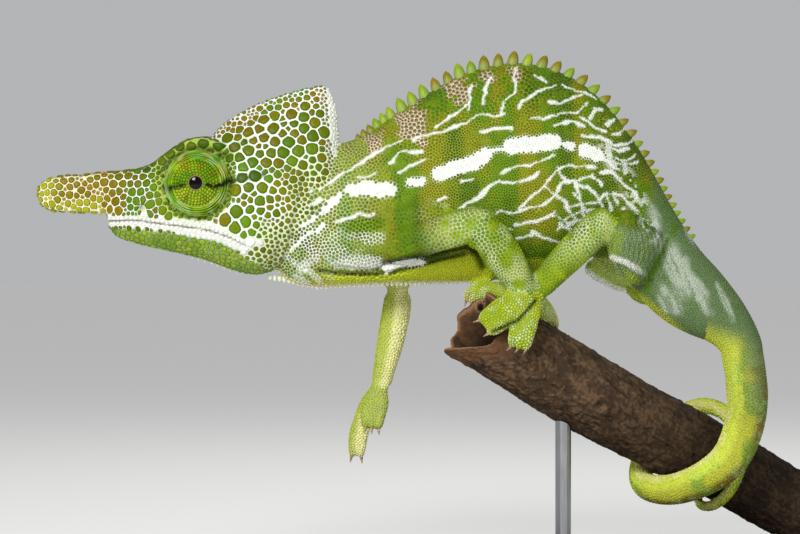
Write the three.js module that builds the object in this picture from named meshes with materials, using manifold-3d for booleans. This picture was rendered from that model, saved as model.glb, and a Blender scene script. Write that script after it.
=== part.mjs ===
// A male white-lined chameleon, life size, gripping the broken end of a branch on a museum stand.
// Millimetres, +Z up. The head points to -X and the animal's left side faces -Y.
// The origin is the middle of the stand's underside. The animal's own numbers count from
// a point on its middle plane, under the shoulders, at the height of the lower chest.

import * as THREE from "three";
import { mergeVertices } from "three/addons/utils/BufferGeometryUtils.js";
import Module from "manifold-3d";

const wasm = await Module();
wasm.setup();

// ---------------------------------------------------------------- driving dimensions

const ANIMAL_AT = [-34, -8, 85]; // the animal's own origin, from the middle of the stand's underside
const GAP = 0.3; // clearance between neighbouring solids
const BIG = 400; // larger than the whole model, for half-space cutters

const PLATE = { length: 164, width: 92, thick: 6, corner: 20, bevel: 1.2 };
const ROD = { radius: 2, places: [[41, 3.2], [99, 29]] };

const PERCH = {
  origin: new THREE.Vector3(25, -4, -19.5), // on the branch's axis, under the animal's feet
  direction: new THREE.Vector3(0.816, 0.365, -0.448).normalize(),
  from: -9, // the broken end, along the axis
  to: 104, // the sawn end
  radius: 9.6,
  hollow: 7.2, // rotted-out core at the broken end
  hollowDepth: 15,
};

const EYE = { x: -50, z: 20.6, ball: 4.9, depth: 7.8, aperture: 1.75, floor: 2.4, socket: 8.7 };
const CREST = { first: 0.105, last: 0.74, count: 37, height: 3.3, radius: 1.2, root: 0.9, lean: 0.22 };
const CLAW = { length: 2.6, radius: 0.62 };

// ---------------------------------------------------------------- colours

const COLOURS = {
  green: [0x6f9a1e, 0.55],
  olive: [0x8a8f1c, 0.5],
  pale: [0xc9d39a, 0.6],
  tail: [0x8fae4a, 0.55],
  iris: [0x14100a, 0.12],
  claw: [0xb59f78, 0.4],
  bark: [0x5d4637, 0.9],
  steel: [0x9a9c9e, 0.35],
  wood: [0x2e2a27, 0.5],
};

function material(name) {
  const [color, roughness] = COLOURS[name];
  return new THREE.MeshStandardMaterial({ color, roughness, metalness: name === "steel" ? 1 : 0 });
}

// ---------------------------------------------------------------- solids from three.js geometry

const vec = (x, y, z) => new THREE.Vector3(x, y, z);

// A geometry's shape alone, with its shared points merged.
function bare(geometry) {
  const shape = geometry.clone();
  shape.deleteAttribute("normal");
  shape.deleteAttribute("uv");
  return mergeVertices(shape, 1e-4);
}

// A closed three.js geometry as a solid, with its faces turned out.
function solid(geometry) {
  const shape = bare(geometry);
  const index = new Uint32Array(shape.index.array);
  const made = () =>
    new wasm.Manifold(
      new wasm.Mesh({ numProp: 3, vertProperties: shape.attributes.position.array, triVerts: index }),
    );
  if (made().volume() < 0) {
    for (let i = 0; i < index.length; i += 3) [index[i], index[i + 1]] = [index[i + 1], index[i]];
  }
  return made();
}

// A solid as a three.js geometry.
function geometryOf(made) {
  const mesh = made.getMesh();
  const points = new Float32Array(mesh.numVert * 3);
  for (let i = 0; i < mesh.numVert; i++) {
    points.set(mesh.vertProperties.subarray(i * mesh.numProp, i * mesh.numProp + 3), i * 3);
  }
  const geometry = new THREE.BufferGeometry();
  geometry.setAttribute("position", new THREE.BufferAttribute(points, 3));
  geometry.setIndex(new THREE.BufferAttribute(mesh.triVerts, 1));
  geometry.computeVertexNormals();
  return geometry;
}

// A cylinder with its levels moved to rings of points, and its ends' middles to the middle of the end rings.
function loft(rings) {
  const sides = rings[0].length;
  const steps = rings.length - 1;
  const cylinder = bare(new THREE.CylinderGeometry(1, 1, 1, sides, steps));
  const place = cylinder.attributes.position;
  for (let k = 0; k < place.count; k++) {
    const ring = rings[Math.round((0.5 - place.getY(k)) * steps)];
    const turn = Math.atan2(place.getX(k), place.getZ(k)) / (2 * Math.PI);
    const onRim = place.getX(k) ** 2 + place.getZ(k) ** 2 > 0.5;
    const middle = ring.reduce((sum, point) => sum.add(point), vec(0, 0, 0)).divideScalar(sides);
    const point = onRim ? ring[(Math.round(turn * sides) + sides) % sides] : middle;
    place.setXYZ(k, point.x, point.y, point.z);
  }
  return solid(cylinder);
}

// Catmull-Rom through rows of numbers, at t from 0 to 1 over the whole list.
function blend(rows, t) {
  const place = Math.min(Math.max(t, 0), 1) * (rows.length - 1);
  const i = Math.min(Math.floor(place), rows.length - 2);
  const f = place - i;
  const p0 = rows[Math.max(i - 1, 0)];
  const p1 = rows[i];
  const p2 = rows[i + 1];
  const p3 = rows[Math.min(i + 2, rows.length - 1)];
  return p1.map((v, k) => {
    const slope1 = (p2[k] - p0[k]) / 2;
    const slope2 = (p3[k] - p1[k]) / 2;
    const rise = p2[k] - v;
    const cubic = slope1 + slope2 - 2 * rise;
    const square = 3 * rise - 2 * slope1 - slope2;
    return v + f * (slope1 + f * (square + f * cubic));
  });
}

// A closed form that is symmetric about the plane y = 0, from stations
// [top x, top z, bottom x, bottom z, half width, height share of the widest level, top power, bottom power].
// Each section is half a superellipse above its widest level and half below it.
function keeledRing(row, sides, grow) {
  const [topX, topZ, lowX, lowZ, width, share, topPower, lowPower] = row;
  const low = vec(lowX, 0, lowZ);
  const rise = vec(topX, 0, topZ).sub(low);
  const unit = rise.clone().normalize();
  const middle = low.clone().addScaledVector(rise, share);
  const above = rise.length() * (1 - share) + grow;
  const below = rise.length() * share + grow;
  return Array.from({ length: sides }, (_, j) => {
    const angle = (2 * Math.PI * j) / sides;
    const cos = Math.cos(angle);
    const sin = Math.sin(angle);
    const power = 2 / (sin > 0 ? topPower : lowPower);
    const reach = sin > 0 ? above : -below;
    const point = middle.clone().addScaledVector(unit, reach * Math.abs(sin) ** power);
    point.y = Math.sign(cos) * (width + grow) * Math.abs(cos) ** power;
    return point;
  });
}

function keeled(rows, { sides = 18, steps = 24, grow = 0 } = {}) {
  const rings = [];
  for (let i = 0; i <= steps; i++) rings.push(keeledRing(blend(rows, i / steps), sides, grow));
  return loft(rings);
}

// The direction of a path of stations at t.
function heading(rows, t) {
  const ahead = blend(rows, Math.min(t + 0.01, 1));
  const behind = blend(rows, Math.max(t - 0.01, 0));
  return vec(ahead[0] - behind[0], ahead[1] - behind[1], ahead[2] - behind[2]).normalize();
}

// A tube through stations [x, y, z, half width, half depth]. The depth starts out along Y and is carried on
// without twist. The ends are rounded over the shares of the tube that ends names, from a blunt start.
function tube(rows, options = {}) {
  const { sides = 8, steps = 6, grow = 0, ends = [0, 0], span = [0, 1], blunt = 0.06 } = options;
  const rings = [];
  const across = vec(0, 1, 0);
  const strides = 60;
  let walked = 0;
  for (let i = 0; i <= steps; i++) {
    const share = i / steps;
    const t = span[0] + share * (span[1] - span[0]);
    for (; walked / strides <= t; walked++) {
      const along = heading(rows, walked / strides);
      across.addScaledVector(along, -across.dot(along)).normalize();
    }
    const [x, y, z, wide, deep] = blend(rows, t);
    const along = heading(rows, t);
    const depth = across.clone().addScaledVector(along, -across.dot(along)).normalize();
    const beside = along.clone().cross(depth);
    const start = ends[0] ? Math.min(share / ends[0], 1) : 1;
    const end = ends[1] ? Math.min((1 - share) / ends[1], 1) : 1;
    const draw = Math.sqrt(Math.max(blunt, 1 - (1 - start) ** 2) * Math.max(0.06, 1 - (1 - end) ** 2));
    const outward = (share === 0 ? -grow : 0) + (share === 1 ? grow : 0);
    rings.push(
      Array.from({ length: sides }, (_, j) => {
        const angle = (2 * Math.PI * j) / sides;
        return vec(x, y, z)
          .addScaledVector(along, outward)
          .addScaledVector(beside, (wide * draw + grow) * Math.cos(angle))
          .addScaledVector(depth, (deep * draw + grow) * Math.sin(angle));
      }),
    );
  }
  return loft(rings);
}

// Half of space: everything on the side of the point that the normal points to.
function halfSpace(point, normal) {
  const box = new THREE.BoxGeometry(BIG, BIG, BIG);
  const turn = new THREE.Quaternion().setFromUnitVectors(vec(0, 0, 1), normal.clone().normalize());
  box.translate(0, 0, BIG / 2);
  box.applyQuaternion(turn);
  box.translate(point.x, point.y, point.z);
  return solid(box);
}

// Parts a solid by planes square to the animal's middle plane, each through an upper and a lower point [x, z].
// Returns the pieces from the first side of the first plane to the far side of the last.
function sliced(made, planes) {
  const pieces = [];
  let rest = made;
  for (const [[topX, topZ], [lowX, lowZ]] of planes) {
    const rise = vec(topX - lowX, 0, topZ - lowZ);
    const normal = vec(rise.z, 0, -rise.x).normalize();
    const point = vec(lowX, 0, lowZ);
    const near = point.clone().addScaledVector(normal, -GAP / 2);
    const far = point.clone().addScaledVector(normal, GAP / 2);
    pieces.push(rest.subtract(halfSpace(near, normal)));
    rest = rest.intersect(halfSpace(far, normal));
  }
  pieces.push(rest);
  return pieces;
}

// The largest body of a solid: a cut can leave a crumb that belongs to no one.
function largest(made) {
  return made.decompose().reduce((a, b) => (a.volume() > b.volume() ? a : b));
}

const model = new THREE.Group();
const animal = new THREE.Group();
animal.position.set(...ANIMAL_AT);
model.add(animal);

function add(name, made, colour) {
  const mesh = new THREE.Mesh(geometryOf(largest(made)), material(colour));
  mesh.name = name;
  animal.add(mesh);
}

// ---------------------------------------------------------------- the branch and its stand

const up = vec(0, 0, 1).addScaledVector(PERCH.direction, -PERCH.direction.z).normalize();
const front = PERCH.direction.clone().cross(up).normalize();

// A point round the branch: degrees from its top over the front, distance from its axis, and distance along it.
function aroundPerch(degrees, reach, along) {
  const angle = THREE.MathUtils.degToRad(degrees);
  return PERCH.origin
    .clone()
    .addScaledVector(PERCH.direction, along)
    .addScaledVector(up, reach * Math.cos(angle))
    .addScaledVector(front, reach * Math.sin(angle));
}

// The branch's radius: a gentle taper, a swelling, wear under the broken end, and knots.
function perchRadius(degrees, along) {
  const angle = THREE.MathUtils.degToRad(degrees);
  const taper = -0.011 * (along - 40);
  const swell = 0.55 * Math.exp(-(((along - 34) / 26) ** 2));
  const worn = -2 * Math.max(0, -Math.cos(angle)) * Math.exp(-(((along + 8) / 16) ** 2));
  const lumps = 0.28 * Math.sin(3 * angle + along / 9) + 0.22 * Math.sin(2 * angle - along / 14 + 1);
  return PERCH.radius + taper + swell + worn + lumps;
}

// How far the broken end's rim reaches out beyond its mean line, round the branch.
function rimReach(degrees) {
  const angle = THREE.MathUtils.degToRad(degrees);
  const lip = 5 * Math.exp(-(((degrees - 158) / 24) ** 2));
  const notch = -5.2 * Math.exp(-(((degrees - 78) / 30) ** 2));
  return lip + notch + 0.5 * Math.sin(5 * angle + 0.6) + 0.4 * Math.sin(9 * angle);
}

function perchSolid(grow, sides = 18, steps = 8) {
  const rings = [];
  for (let i = 0; i <= steps; i++) {
    rings.push(
      Array.from({ length: sides }, (_, j) => {
        const degrees = (360 * j) / sides;
        const broken = PERCH.from - rimReach(degrees) - grow;
        const along = broken + (i / steps) * (PERCH.to + grow - broken);
        return aroundPerch(degrees, perchRadius(degrees, along) + grow, along);
      }),
    );
  }
  return loft(rings);
}

function perchHollow(sides = 10) {
  const depths = [-9, 0, 5, 9, 12.5, PERCH.hollowDepth];
  const shares = [1.14, 1.08, 1, 0.86, 0.58, 0.2];
  const rings = depths.map((depth, i) =>
    Array.from({ length: sides }, (_, j) => {
      const degrees = (360 * j) / sides;
      const radius = PERCH.hollow * shares[i] * (1 + 0.12 * Math.sin((2 * Math.PI * 3 * j) / sides + 1));
      return aroundPerch(degrees, radius, PERCH.from + depth);
    }),
  );
  return loft(rings);
}

const perchGrown = perchSolid(GAP);
add("perch", perchSolid(0).subtract(perchHollow()), "bark");

function plate() {
  const { length, width, thick, corner, bevel } = PLATE;
  const outline = new THREE.Shape();
  const x = length / 2 - bevel;
  const y = width / 2 - bevel;
  outline.moveTo(-x + corner, -y);
  outline.lineTo(x - corner, -y);
  outline.absarc(x - corner, -y + corner, corner, -Math.PI / 2, 0);
  outline.lineTo(x, y - corner);
  outline.absarc(x - corner, y - corner, corner, 0, Math.PI / 2);
  outline.lineTo(-x + corner, y);
  outline.absarc(-x + corner, y - corner, corner, Math.PI / 2, Math.PI);
  outline.lineTo(-x, -y + corner);
  outline.absarc(-x + corner, -y + corner, corner, Math.PI, 1.5 * Math.PI);
  const made = new THREE.ExtrudeGeometry(outline, {
    depth: thick - 2 * bevel,
    bevelEnabled: true,
    bevelThickness: bevel,
    bevelSize: bevel,
    bevelSegments: 1,
    curveSegments: 4,
  });
  return made.translate(0, 0, bevel);
}

const plateMesh = new THREE.Mesh(plate(), material("wood"));
plateMesh.name = "stand_base";
model.add(plateMesh);

ROD.places.forEach(([x, y], i) => {
  const floor = -ANIMAL_AT[2];
  const foot = floor + PLATE.thick + GAP;
  const rod = new THREE.CylinderGeometry(ROD.radius, ROD.radius, -foot, 14);
  rod.rotateX(Math.PI / 2);
  rod.translate(x, y, foot / 2);
  const below = solid(rod).subtract(perchGrown).decompose();
  below.sort((a, b) => a.boundingBox().min[2] - b.boundingBox().min[2]);
  add(`stand_rod_${i + 1}`, below[0], "steel");
});

// ---------------------------------------------------------------- head

// [top x, top z, bottom x, bottom z, half width, share of widest level, top power, bottom power]
const HEAD = [
  [-73.2, 15, -72.6, 10.6, 1.6, 0.5, 2, 2],
  [-71.4, 21, -71, 7.7, 3.4, 0.5, 2.2, 2],
  [-66.5, 24.3, -66.5, 5.9, 5.2, 0.48, 2.4, 2],
  [-62, 26, -62, 4.8, 6.4, 0.46, 2.5, 2],
  [-58, 29, -58, 3.9, 7.3, 0.46, 2.6, 2],
  [-54, 31.5, -54, 3, 7.9, 0.46, 2.6, 2],
  [-50, 32.6, -50, 2, 8.3, 0.45, 2.6, 2],
  [-46, 32.4, -46, 0.7, 8.7, 0.44, 2.4, 2],
  [-41.5, 29.6, -41.5, -1, 9.3, 0.44, 2.2, 2.1],
  [-37, 27.6, -37, -2, 9.6, 0.45, 2, 2.2],
  [-32.6, 26.6, -33, -1.5, 9.2, 0.46, 2, 2.2],
  [-27, 26, -29.5, 1, 8.2, 0.48, 2, 2.2],
  [-21, 25, -25, 5, 7.2, 0.5, 2, 2],
];

const CASQUE = [
  [-48.4, 31, -46, 20, 5, 0.1, 1.4, 2],
  [-46.4, 33.6, -44, 19, 7.4, 0.1, 1.35, 2],
  [-43.4, 36.6, -41, 18, 8.4, 0.08, 1.3, 2],
  [-38.6, 39.6, -37, 17, 8.9, 0.06, 1.3, 2],
  [-33, 42, -32, 16, 8.8, 0.05, 1.3, 2],
  [-27, 44, -28, 16, 8.2, 0.05, 1.3, 2],
  [-22, 45.2, -25, 17, 7.6, 0.06, 1.3, 2],
  [-18.3, 45.3, -22.5, 18, 7, 0.08, 1.3, 2],
  [-16.4, 41.5, -21, 18, 6.6, 0.1, 1.35, 2],
  [-15.5, 36.5, -20, 18, 6.4, 0.12, 1.4, 2],
  [-15, 31, -19, 18, 6, 0.15, 1.5, 2],
];

const APPENDAGE = [
  [-90.4, 19.6, -90.4, 17.2, 0.7, 0.5, 2, 2],
  [-89.7, 21, -89.7, 15.6, 1.3, 0.5, 2, 2],
  [-87.9, 22.2, -87.9, 14.2, 1.8, 0.5, 2, 2],
  [-84.6, 22.9, -84.6, 13.6, 1.8, 0.5, 2.2, 2],
  [-80, 23.2, -80, 13.4, 1.9, 0.5, 2.4, 2],
  [-75, 23.7, -75, 13.2, 2.3, 0.5, 2.6, 2],
  [-70, 24.1, -70, 13, 3.6, 0.5, 2.6, 2],
  [-65, 24.8, -65, 14, 5.2, 0.5, 2.6, 2],
];

// The mouth runs from the snout to its corner behind the eye, then the jaw's edge drops to the throat: [x, z].
const MOUTH = [
  [-80, 11.2],
  [-72, 11.4],
  [-66, 11.6],
  [-58, 10.5],
  [-52, 9.7],
  [-47, 8.9],
  [-42, 7.2],
  [-38.4, 5],
  [-35, 1],
  [-33.5, -8],
];

function belowMouth(lift) {
  const shape = new THREE.Shape();
  shape.moveTo(-80, -20);
  shape.lineTo(-80, MOUTH[0][1] + lift);
  MOUTH.slice(1, -2).forEach(([x, z]) => shape.lineTo(x, z + lift));
  MOUTH.slice(-2).forEach(([x, z]) => shape.lineTo(x + lift, z));
  shape.lineTo(MOUTH.at(-1)[0] + lift, -20);
  const prism = new THREE.ExtrudeGeometry(shape, { depth: 60, bevelEnabled: false });
  prism.rotateX(Math.PI / 2);
  return solid(prism.translate(0, 30, 0));
}

// A form turned about an eye's axis, on the side that side names, from a closed outline of
// [distance from the axis, distance out from the middle plane].
function turned(outline, side, segments = 14) {
  const lathe = new THREE.LatheGeometry(outline.map(([r, d]) => new THREE.Vector2(r, d)), segments);
  lathe.rotateX(side < 0 ? Math.PI : 0);
  return solid(lathe.translate(EYE.x, 0, EYE.z));
}

function eyeball(side) {
  const sphere = new THREE.SphereGeometry(EYE.ball, 12, 6);
  return solid(sphere.translate(EYE.x, side * EYE.depth, EYE.z));
}

// The turret is a domed lid round the ball, open at the pupil, over a bowl that clears the ball.
function turret(side) {
  const dome = [
    [8.3, EYE.floor],
    [8.35, 6.6],
    [7.9, 8.5],
    [6.8, 10.3],
    [5.2, 11.7],
    [3.5, 12.65],
    [EYE.aperture, 13.1],
  ];
  const clear = EYE.ball + GAP + 0.15;
  const bowl = [20, 55, 90].map((degrees) => {
    const angle = THREE.MathUtils.degToRad(degrees);
    return [clear * Math.sin(angle), EYE.depth + clear * Math.cos(angle)];
  });
  return turned([...dome, ...bowl, [clear, EYE.floor], dome[0]], side);
}

// ---------------------------------------------------------------- neck, trunk and tail root

const TRUNK = [
  [-17.5, 30, -34, 2, 6.3, 0.45, 1.9, 2],
  [-14.5, 31, -28.5, -3.2, 7, 0.42, 1.9, 2],
  [-9, 33, -21, -5, 8.2, 0.4, 1.8, 2],
  [-2, 37.8, -11, -4.5, 9.4, 0.38, 1.75, 2],
  [5, 42.2, -1, -4.1, 10.4, 0.38, 1.7, 2],
  [12.5, 46.7, 9, -4, 11.3, 0.38, 1.65, 1.95],
  [20, 49.7, 19, -3.8, 11.9, 0.39, 1.6, 1.9],
  [29, 51.2, 28, -2.8, 11.9, 0.4, 1.6, 1.9],
  [38, 49.6, 36, -0.8, 11.4, 0.41, 1.6, 1.9],
  [46, 45.6, 42.5, 1.2, 10.6, 0.42, 1.6, 1.9],
  [53, 39, 48, 2.4, 9.8, 0.44, 1.65, 1.95],
  [59, 30.8, 52.8, 0.8, 9, 0.46, 1.7, 2],
  [64, 22.2, 57, -3.5, 8.4, 0.48, 1.8, 2],
  [69, 13.3, 61.2, -9.2, 8, 0.5, 1.9, 2],
  [74.6, 5, 66.5, -13.8, 7.8, 0.5, 1.95, 2],
  [80.6, -1.8, 72, -16.8, 7.2, 0.5, 2, 2],
  [86.2, -9.4, 77, -18.8, 6, 0.5, 2, 2],
  [90.2, -17.6, 80, -21.4, 5.4, 0.5, 2, 2],
  [91.6, -26, 80.6, -26.4, 5.3, 0.5, 2, 2],
];

// The crest's cones stand on the trunk's upper edge and lean back a little. They are tallest over the shoulders
// and back, and fade on the tail's root.
function crestCone(i) {
  const share = i / (CREST.count - 1);
  const t = CREST.first + share * (CREST.last - CREST.first);
  const here = blend(TRUNK, t);
  const next = blend(TRUNK, t + 0.004);
  const along = vec(next[0] - here[0], 0, next[1] - here[1]).normalize();
  const out = vec(-along.z, 0, along.x).addScaledVector(along, CREST.lean).normalize();
  const size = Math.min(1, 0.78 + share) * (1 - 0.68 * share ** 3);
  const height = CREST.height * size + CREST.root;
  const cone = new THREE.ConeGeometry(CREST.radius * (0.5 + 0.5 * size), height, 5);
  cone.applyQuaternion(new THREE.Quaternion().setFromUnitVectors(vec(0, 1, 0), out));
  const foot = vec(here[0], 0, here[1]).addScaledVector(out, height / 2 - CREST.root);
  return solid(cone.translate(foot.x, foot.y, foot.z));
}

function joined(parts) {
  return parts.reduce((a, b) => a.add(b));
}

const trunk = keeled(TRUNK, { sides: 16, steps: 23 });
const trunkGrown = keeled(TRUNK, { sides: 16, steps: 23, grow: GAP });
const crest = Array.from({ length: CREST.count }, (_, i) => crestCone(i));
const headForm = joined([
  keeled(HEAD, { sides: 12, steps: 11 }),
  keeled(CASQUE, { sides: 12, steps: 9 }),
  keeled(APPENDAGE, { sides: 8, steps: 8 }),
]);

const bore = [
  [0, EYE.floor - GAP],
  [EYE.socket, EYE.floor - GAP],
  [EYE.socket, 20],
  [0, 20],
];
const sockets = [-1, 1].map((side) => turned(bore, side));
const wholeBody = joined([trunk, ...crest, headForm]).subtract(sockets[0]).subtract(sockets[1]);

const [headPart, neck, trunkFront, trunkRear, pelvis, tailRoot] = sliced(wholeBody, [
  [[-14.2, 30.6], [-32.6, -1.5]],
  [[3, 41], [-4, -6]],
  [[33.5, 52], [32, -4]],
  [[57, 34], [51, 0]],
  [[77, 2], [69, -16]],
]);

const [appendagePart, skullPart] = sliced(headPart, [[[-73.6, 24], [-73.6, 14]]]);
const cranium = skullPart.subtract(belowMouth(GAP));
const [casqueLow, casqueHigh] = [
  cranium.subtract(halfSpace(vec(-47.5, 0, 32.3), vec(-0.03, 0, 1))),
  cranium.intersect(halfSpace(vec(-47.5, 0, 32.3 + GAP), vec(-0.03, 0, 1))),
];

add("rostral_appendage", appendagePart, "olive");
add("head", casqueLow, "olive");
add("casque", casqueHigh, "olive");
add("lower_jaw", skullPart.intersect(belowMouth(0)), "green");
add("neck", neck, "green");
add("trunk_front", trunkFront, "green");
add("trunk_rear", trunkRear, "green");
add("pelvis", pelvis, "green");
add("tail_root", tailRoot, "tail");

[["left", -1], ["right", 1]].forEach(([name, side]) => {
  add(`eye_turret_${name}`, turret(side), "green");
  add(`eye_${name}`, eyeball(side), "iris");
});

// ---------------------------------------------------------------- tail

// The free tail drops to the branch, swings round its front, wraps once behind it and once more in front.
// [degrees round the branch, distance from its axis, distance along it, tail radius]
const WRAP = [
  [92, 17.6, 62.4, 4.9],
  [116, 16.4, 60, 4.5],
  [145, 15, 57, 4.1],
  [175, 14, 54.8, 3.7],
  [205, 13.3, 54.6, 3.3],
  [240, 13, 55.8, 3],
  [275, 12.9, 57.6, 2.75],
  [310, 12.8, 59.6, 2.5],
  [345, 12.7, 61.6, 2.3],
  [380, 12.4, 64.2, 2.1],
  [415, 12.1, 67, 1.95],
  [450, 11.8, 69.4, 1.8],
  [485, 11.6, 70.8, 1.65],
  [520, 11.5, 71.4, 1.5],
  [555, 11.4, 71.8, 1.3],
  [590, 11.1, 72.6, 1],
];

const TAIL = [
  [86.1, 0, -27.1, 5.45, 5.25],
  [86.9, 0.8, -33.2, 5.3, 5.2],
  [86, 1.9, -40.8, 5.1, 5.1],
  ...WRAP.map(([degrees, reach, along, radius]) => [...aroundPerch(degrees, reach, along), radius, radius]),
];

const TAIL_CUTS = [0, 0.17, 0.34, 0.52, 0.7, 1];
TAIL_CUTS.slice(1).forEach((stop, i) => {
  const start = TAIL_CUTS[i] + 0.0022;
  const piece = tube(TAIL, {
    steps: Math.round((stop - start) * 36),
    span: [start, stop],
    ends: [0, stop === 1 ? 0.12 : 0],
  });
  add(`tail_${i + 1}`, piece.subtract(perchGrown), "tail");
});

// ---------------------------------------------------------------- legs

// Each limb piece is a tube through [x, y, z, half width, half depth];
// a bundle of two or three toes grown together ends in as many claws.
const LIMBS = [
  {
    name: "upper_arm_left",
    path: [
      [-6, -3, 6, 5.6, 3.6],
      [1, -9, 6.4, 5.4, 4],
      [10, -12.6, 8, 4.9, 4.1],
      [18.6, -14.2, 9.8, 5, 4.2],
      [22, -14.4, 8.6, 4.6, 4],
    ],
  },
  {
    name: "forearm_left",
    path: [
      [20.4, -14.3, 9.6, 4.4, 4],
      [23, -14.3, 6, 4.9, 4.2],
      [26.6, -14, 0.6, 4.6, 4],
      [29.6, -13.2, -4, 3.7, 3.5],
      [31.2, -12.6, -6.8, 3.4, 3.3],
    ],
  },
  {
    name: "hand_left_outer",
    toes: 2,
    path: [
      [31.4, -12.4, -6, 3.2, 3],
      [28.6, -14.2, -8.8, 3.8, 3.1],
      [24.6, -16.2, -11.6, 3.5, 2.8],
      [20.6, -17.8, -14.4, 3, 2.5],
    ],
  },
  {
    name: "hand_left_inner",
    toes: 3,
    path: [
      [30.4, -10.6, -6.8, 2.8, 2.6],
      [26.6, -7.4, -6.6, 2.7, 2.4],
      [22.4, -4, -5.7, 2.5, 2.2],
      [19.4, -0.6, -6.2, 2.4, 2.1],
      [18, 2.2, -8.8, 2.1, 1.9],
    ],
  },
  {
    name: "upper_arm_right",
    path: [
      [-6, 3, 5, 5, 3.6],
      [-2.6, 9, 2.4, 4.6, 3.8],
      [-0.8, 13.6, -1.4, 4, 3.8],
      [-0.6, 15.6, -5.6, 3.7, 3.6],
    ],
  },
  {
    name: "forearm_right",
    path: [
      [-0.5, 15.8, -5.6, 3.4, 3.4],
      [-0.9, 16.4, -11, 3.8, 3.6],
      [-2.4, 16.8, -19, 3.6, 3.4],
      [-4.2, 17, -27, 2.9, 2.9],
      [-5.2, 17, -31.4, 2.8, 2.8],
    ],
  },
  {
    name: "hand_right_inner",
    toes: 3,
    path: [
      [-5.2, 16.4, -31, 2.8, 2.4],
      [-6.2, 15, -34.6, 3.5, 2.4],
      [-6.9, 13.8, -38, 3.3, 2.2],
      [-7.2, 12.8, -41, 2.7, 1.9],
    ],
  },
  {
    name: "hand_right_outer",
    toes: 2,
    path: [
      [-5.8, 17.8, -31.4, 2.4, 2.4],
      [-8.6, 19.6, -36.6, 2.5, 2.4],
      [-10.6, 21, -43, 2.4, 2.2],
      [-11.3, 21.8, -49, 2, 1.9],
    ],
  },
  {
    name: "thigh_left",
    path: [
      [62.5, -3, 0, 6.6, 4],
      [59.6, -7.4, 2.8, 7.2, 4.6],
      [56, -11.6, 7, 6.2, 4.4],
      [52.4, -14.8, 12, 4.6, 4],
    ],
  },
  {
    name: "shank_left",
    path: [
      [51.6, -15, 12.8, 3.8, 3.8],
      [48, -14.6, 9.4, 4.3, 4],
      [42.6, -13.2, 4, 4.2, 3.8],
      [37, -11.2, -1.8, 3.7, 3.4],
      [32.6, -9.8, -6.4, 3.4, 3.2],
    ],
  },
  {
    name: "foot_left_outer",
    toes: 3,
    path: [
      [32.2, -10.4, -6.8, 3, 3],
      [31.4, -13.4, -10.4, 3.2, 2.8],
      [30, -15.8, -14.6, 3.3, 2.6],
      [28.8, -16.6, -19.6, 2.9, 2.3],
    ],
  },
  {
    name: "foot_left_inner",
    toes: 2,
    path: [
      [33, -8.6, -7.6, 2.8, 2.8],
      [34.6, -4.6, -9.8, 2.8, 2.6],
      [36.2, 0, -11.6, 2.8, 2.4],
      [37.2, 4.8, -13.6, 2.6, 2.2],
      [36.8, 8.6, -17.2, 2.1, 1.9],
    ],
  },
  {
    name: "thigh_right",
    path: [
      [62, 3, -1, 5.2, 3.6],
      [58.4, 7, -0.2, 4.8, 3.9],
      [53.6, 10.6, 1.2, 4, 3.7],
      [49.8, 12.8, 2, 3.2, 3.2],
    ],
  },
  {
    name: "shank_right",
    path: [
      [48.6, 14.4, 0.8, 2.5, 2.8],
      [51, 15.4, -1, 2.8, 2.9],
      [55, 15.9, -3.2, 2.7, 2.7],
      [59.4, 15.8, -5, 2.4, 2.5],
    ],
  },
  {
    name: "foot_right_outer",
    toes: 3,
    path: [
      [59, 16, -5, 2.3, 2.4],
      [61.8, 17.2, -6.8, 2.6, 2.3],
      [64.4, 17.4, -7.5, 2.4, 2.1],
      [66.4, 16.6, -6.4, 2, 1.9],
    ],
  },
  {
    name: "foot_right_inner",
    toes: 2,
    path: [
      [59.2, 14.8, -5.2, 2.2, 2.2],
      [61.8, 12.6, -6.4, 2.5, 2.1],
      [64.4, 11.4, -6.2, 2.3, 2],
      [66, 10.8, -4.4, 1.9, 1.8],
    ],
  },
];

// Claws sit side by side across the end of a bundle and curve on past it.
function claw(rows, place) {
  const tip = blend(rows, 1);
  const before = blend(rows, 0.93);
  const along = vec(tip[0] - before[0], tip[1] - before[1], tip[2] - before[2]).normalize();
  const across = vec(0, 1, 0).addScaledVector(along, -along.y).normalize();
  const beside = along.clone().cross(across);
  const root = vec(tip[0], tip[1], tip[2]).addScaledVector(beside, place * tip[3] * 0.62);
  const path = [0, 0.35, 0.7, 1].map((share) => {
    const point = root.clone().addScaledVector(along, CLAW.length * share - 0.5);
    point.addScaledVector(beside, place * 0.5 * share);
    const radius = CLAW.radius * (1 - 0.85 * share);
    return [...point.toArray(), radius, radius];
  });
  return tube(path, { sides: 4, steps: 2 });
}

// The limbs are cut clear of the trunk, of the branch and of each limb piece before them.
const before = [];
for (const { name, path, toes = 0 } of LIMBS) {
  const options = { ends: toes ? [0.12, 0.34] : [0.14, 0.12], blunt: 0.4 };
  const grown = tube(path, { ...options, grow: GAP });
  let made = tube(path, options).subtract(trunkGrown).subtract(perchGrown);
  for (const other of before) made = made.subtract(other);
  add(name, made, name.includes("right") ? "pale" : "green");
  for (let i = 0; i < toes; i++) {
    const nail = claw(path, toes === 3 ? i - 1 : 2 * i - 1);
    add(`claw_${name}_${i + 1}`, nail.subtract(grown).subtract(perchGrown), "claw");
  }
  before.push(grown);
}

export default model;
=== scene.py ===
# %% [markdown]
# # A white-lined chameleon, life size, on a museum stand
# The solids of this model are already right in shape and size, but they are smooth and faceted.
# Here they get what a visitor would look at: one skin without seams, a coat of raised scales over it,
# a crest of cones, claws, wet eyes, and the bark of the dead branch.
# All numbers of the animal are in millimetres from its own origin, under the shoulders on its middle plane.

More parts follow.
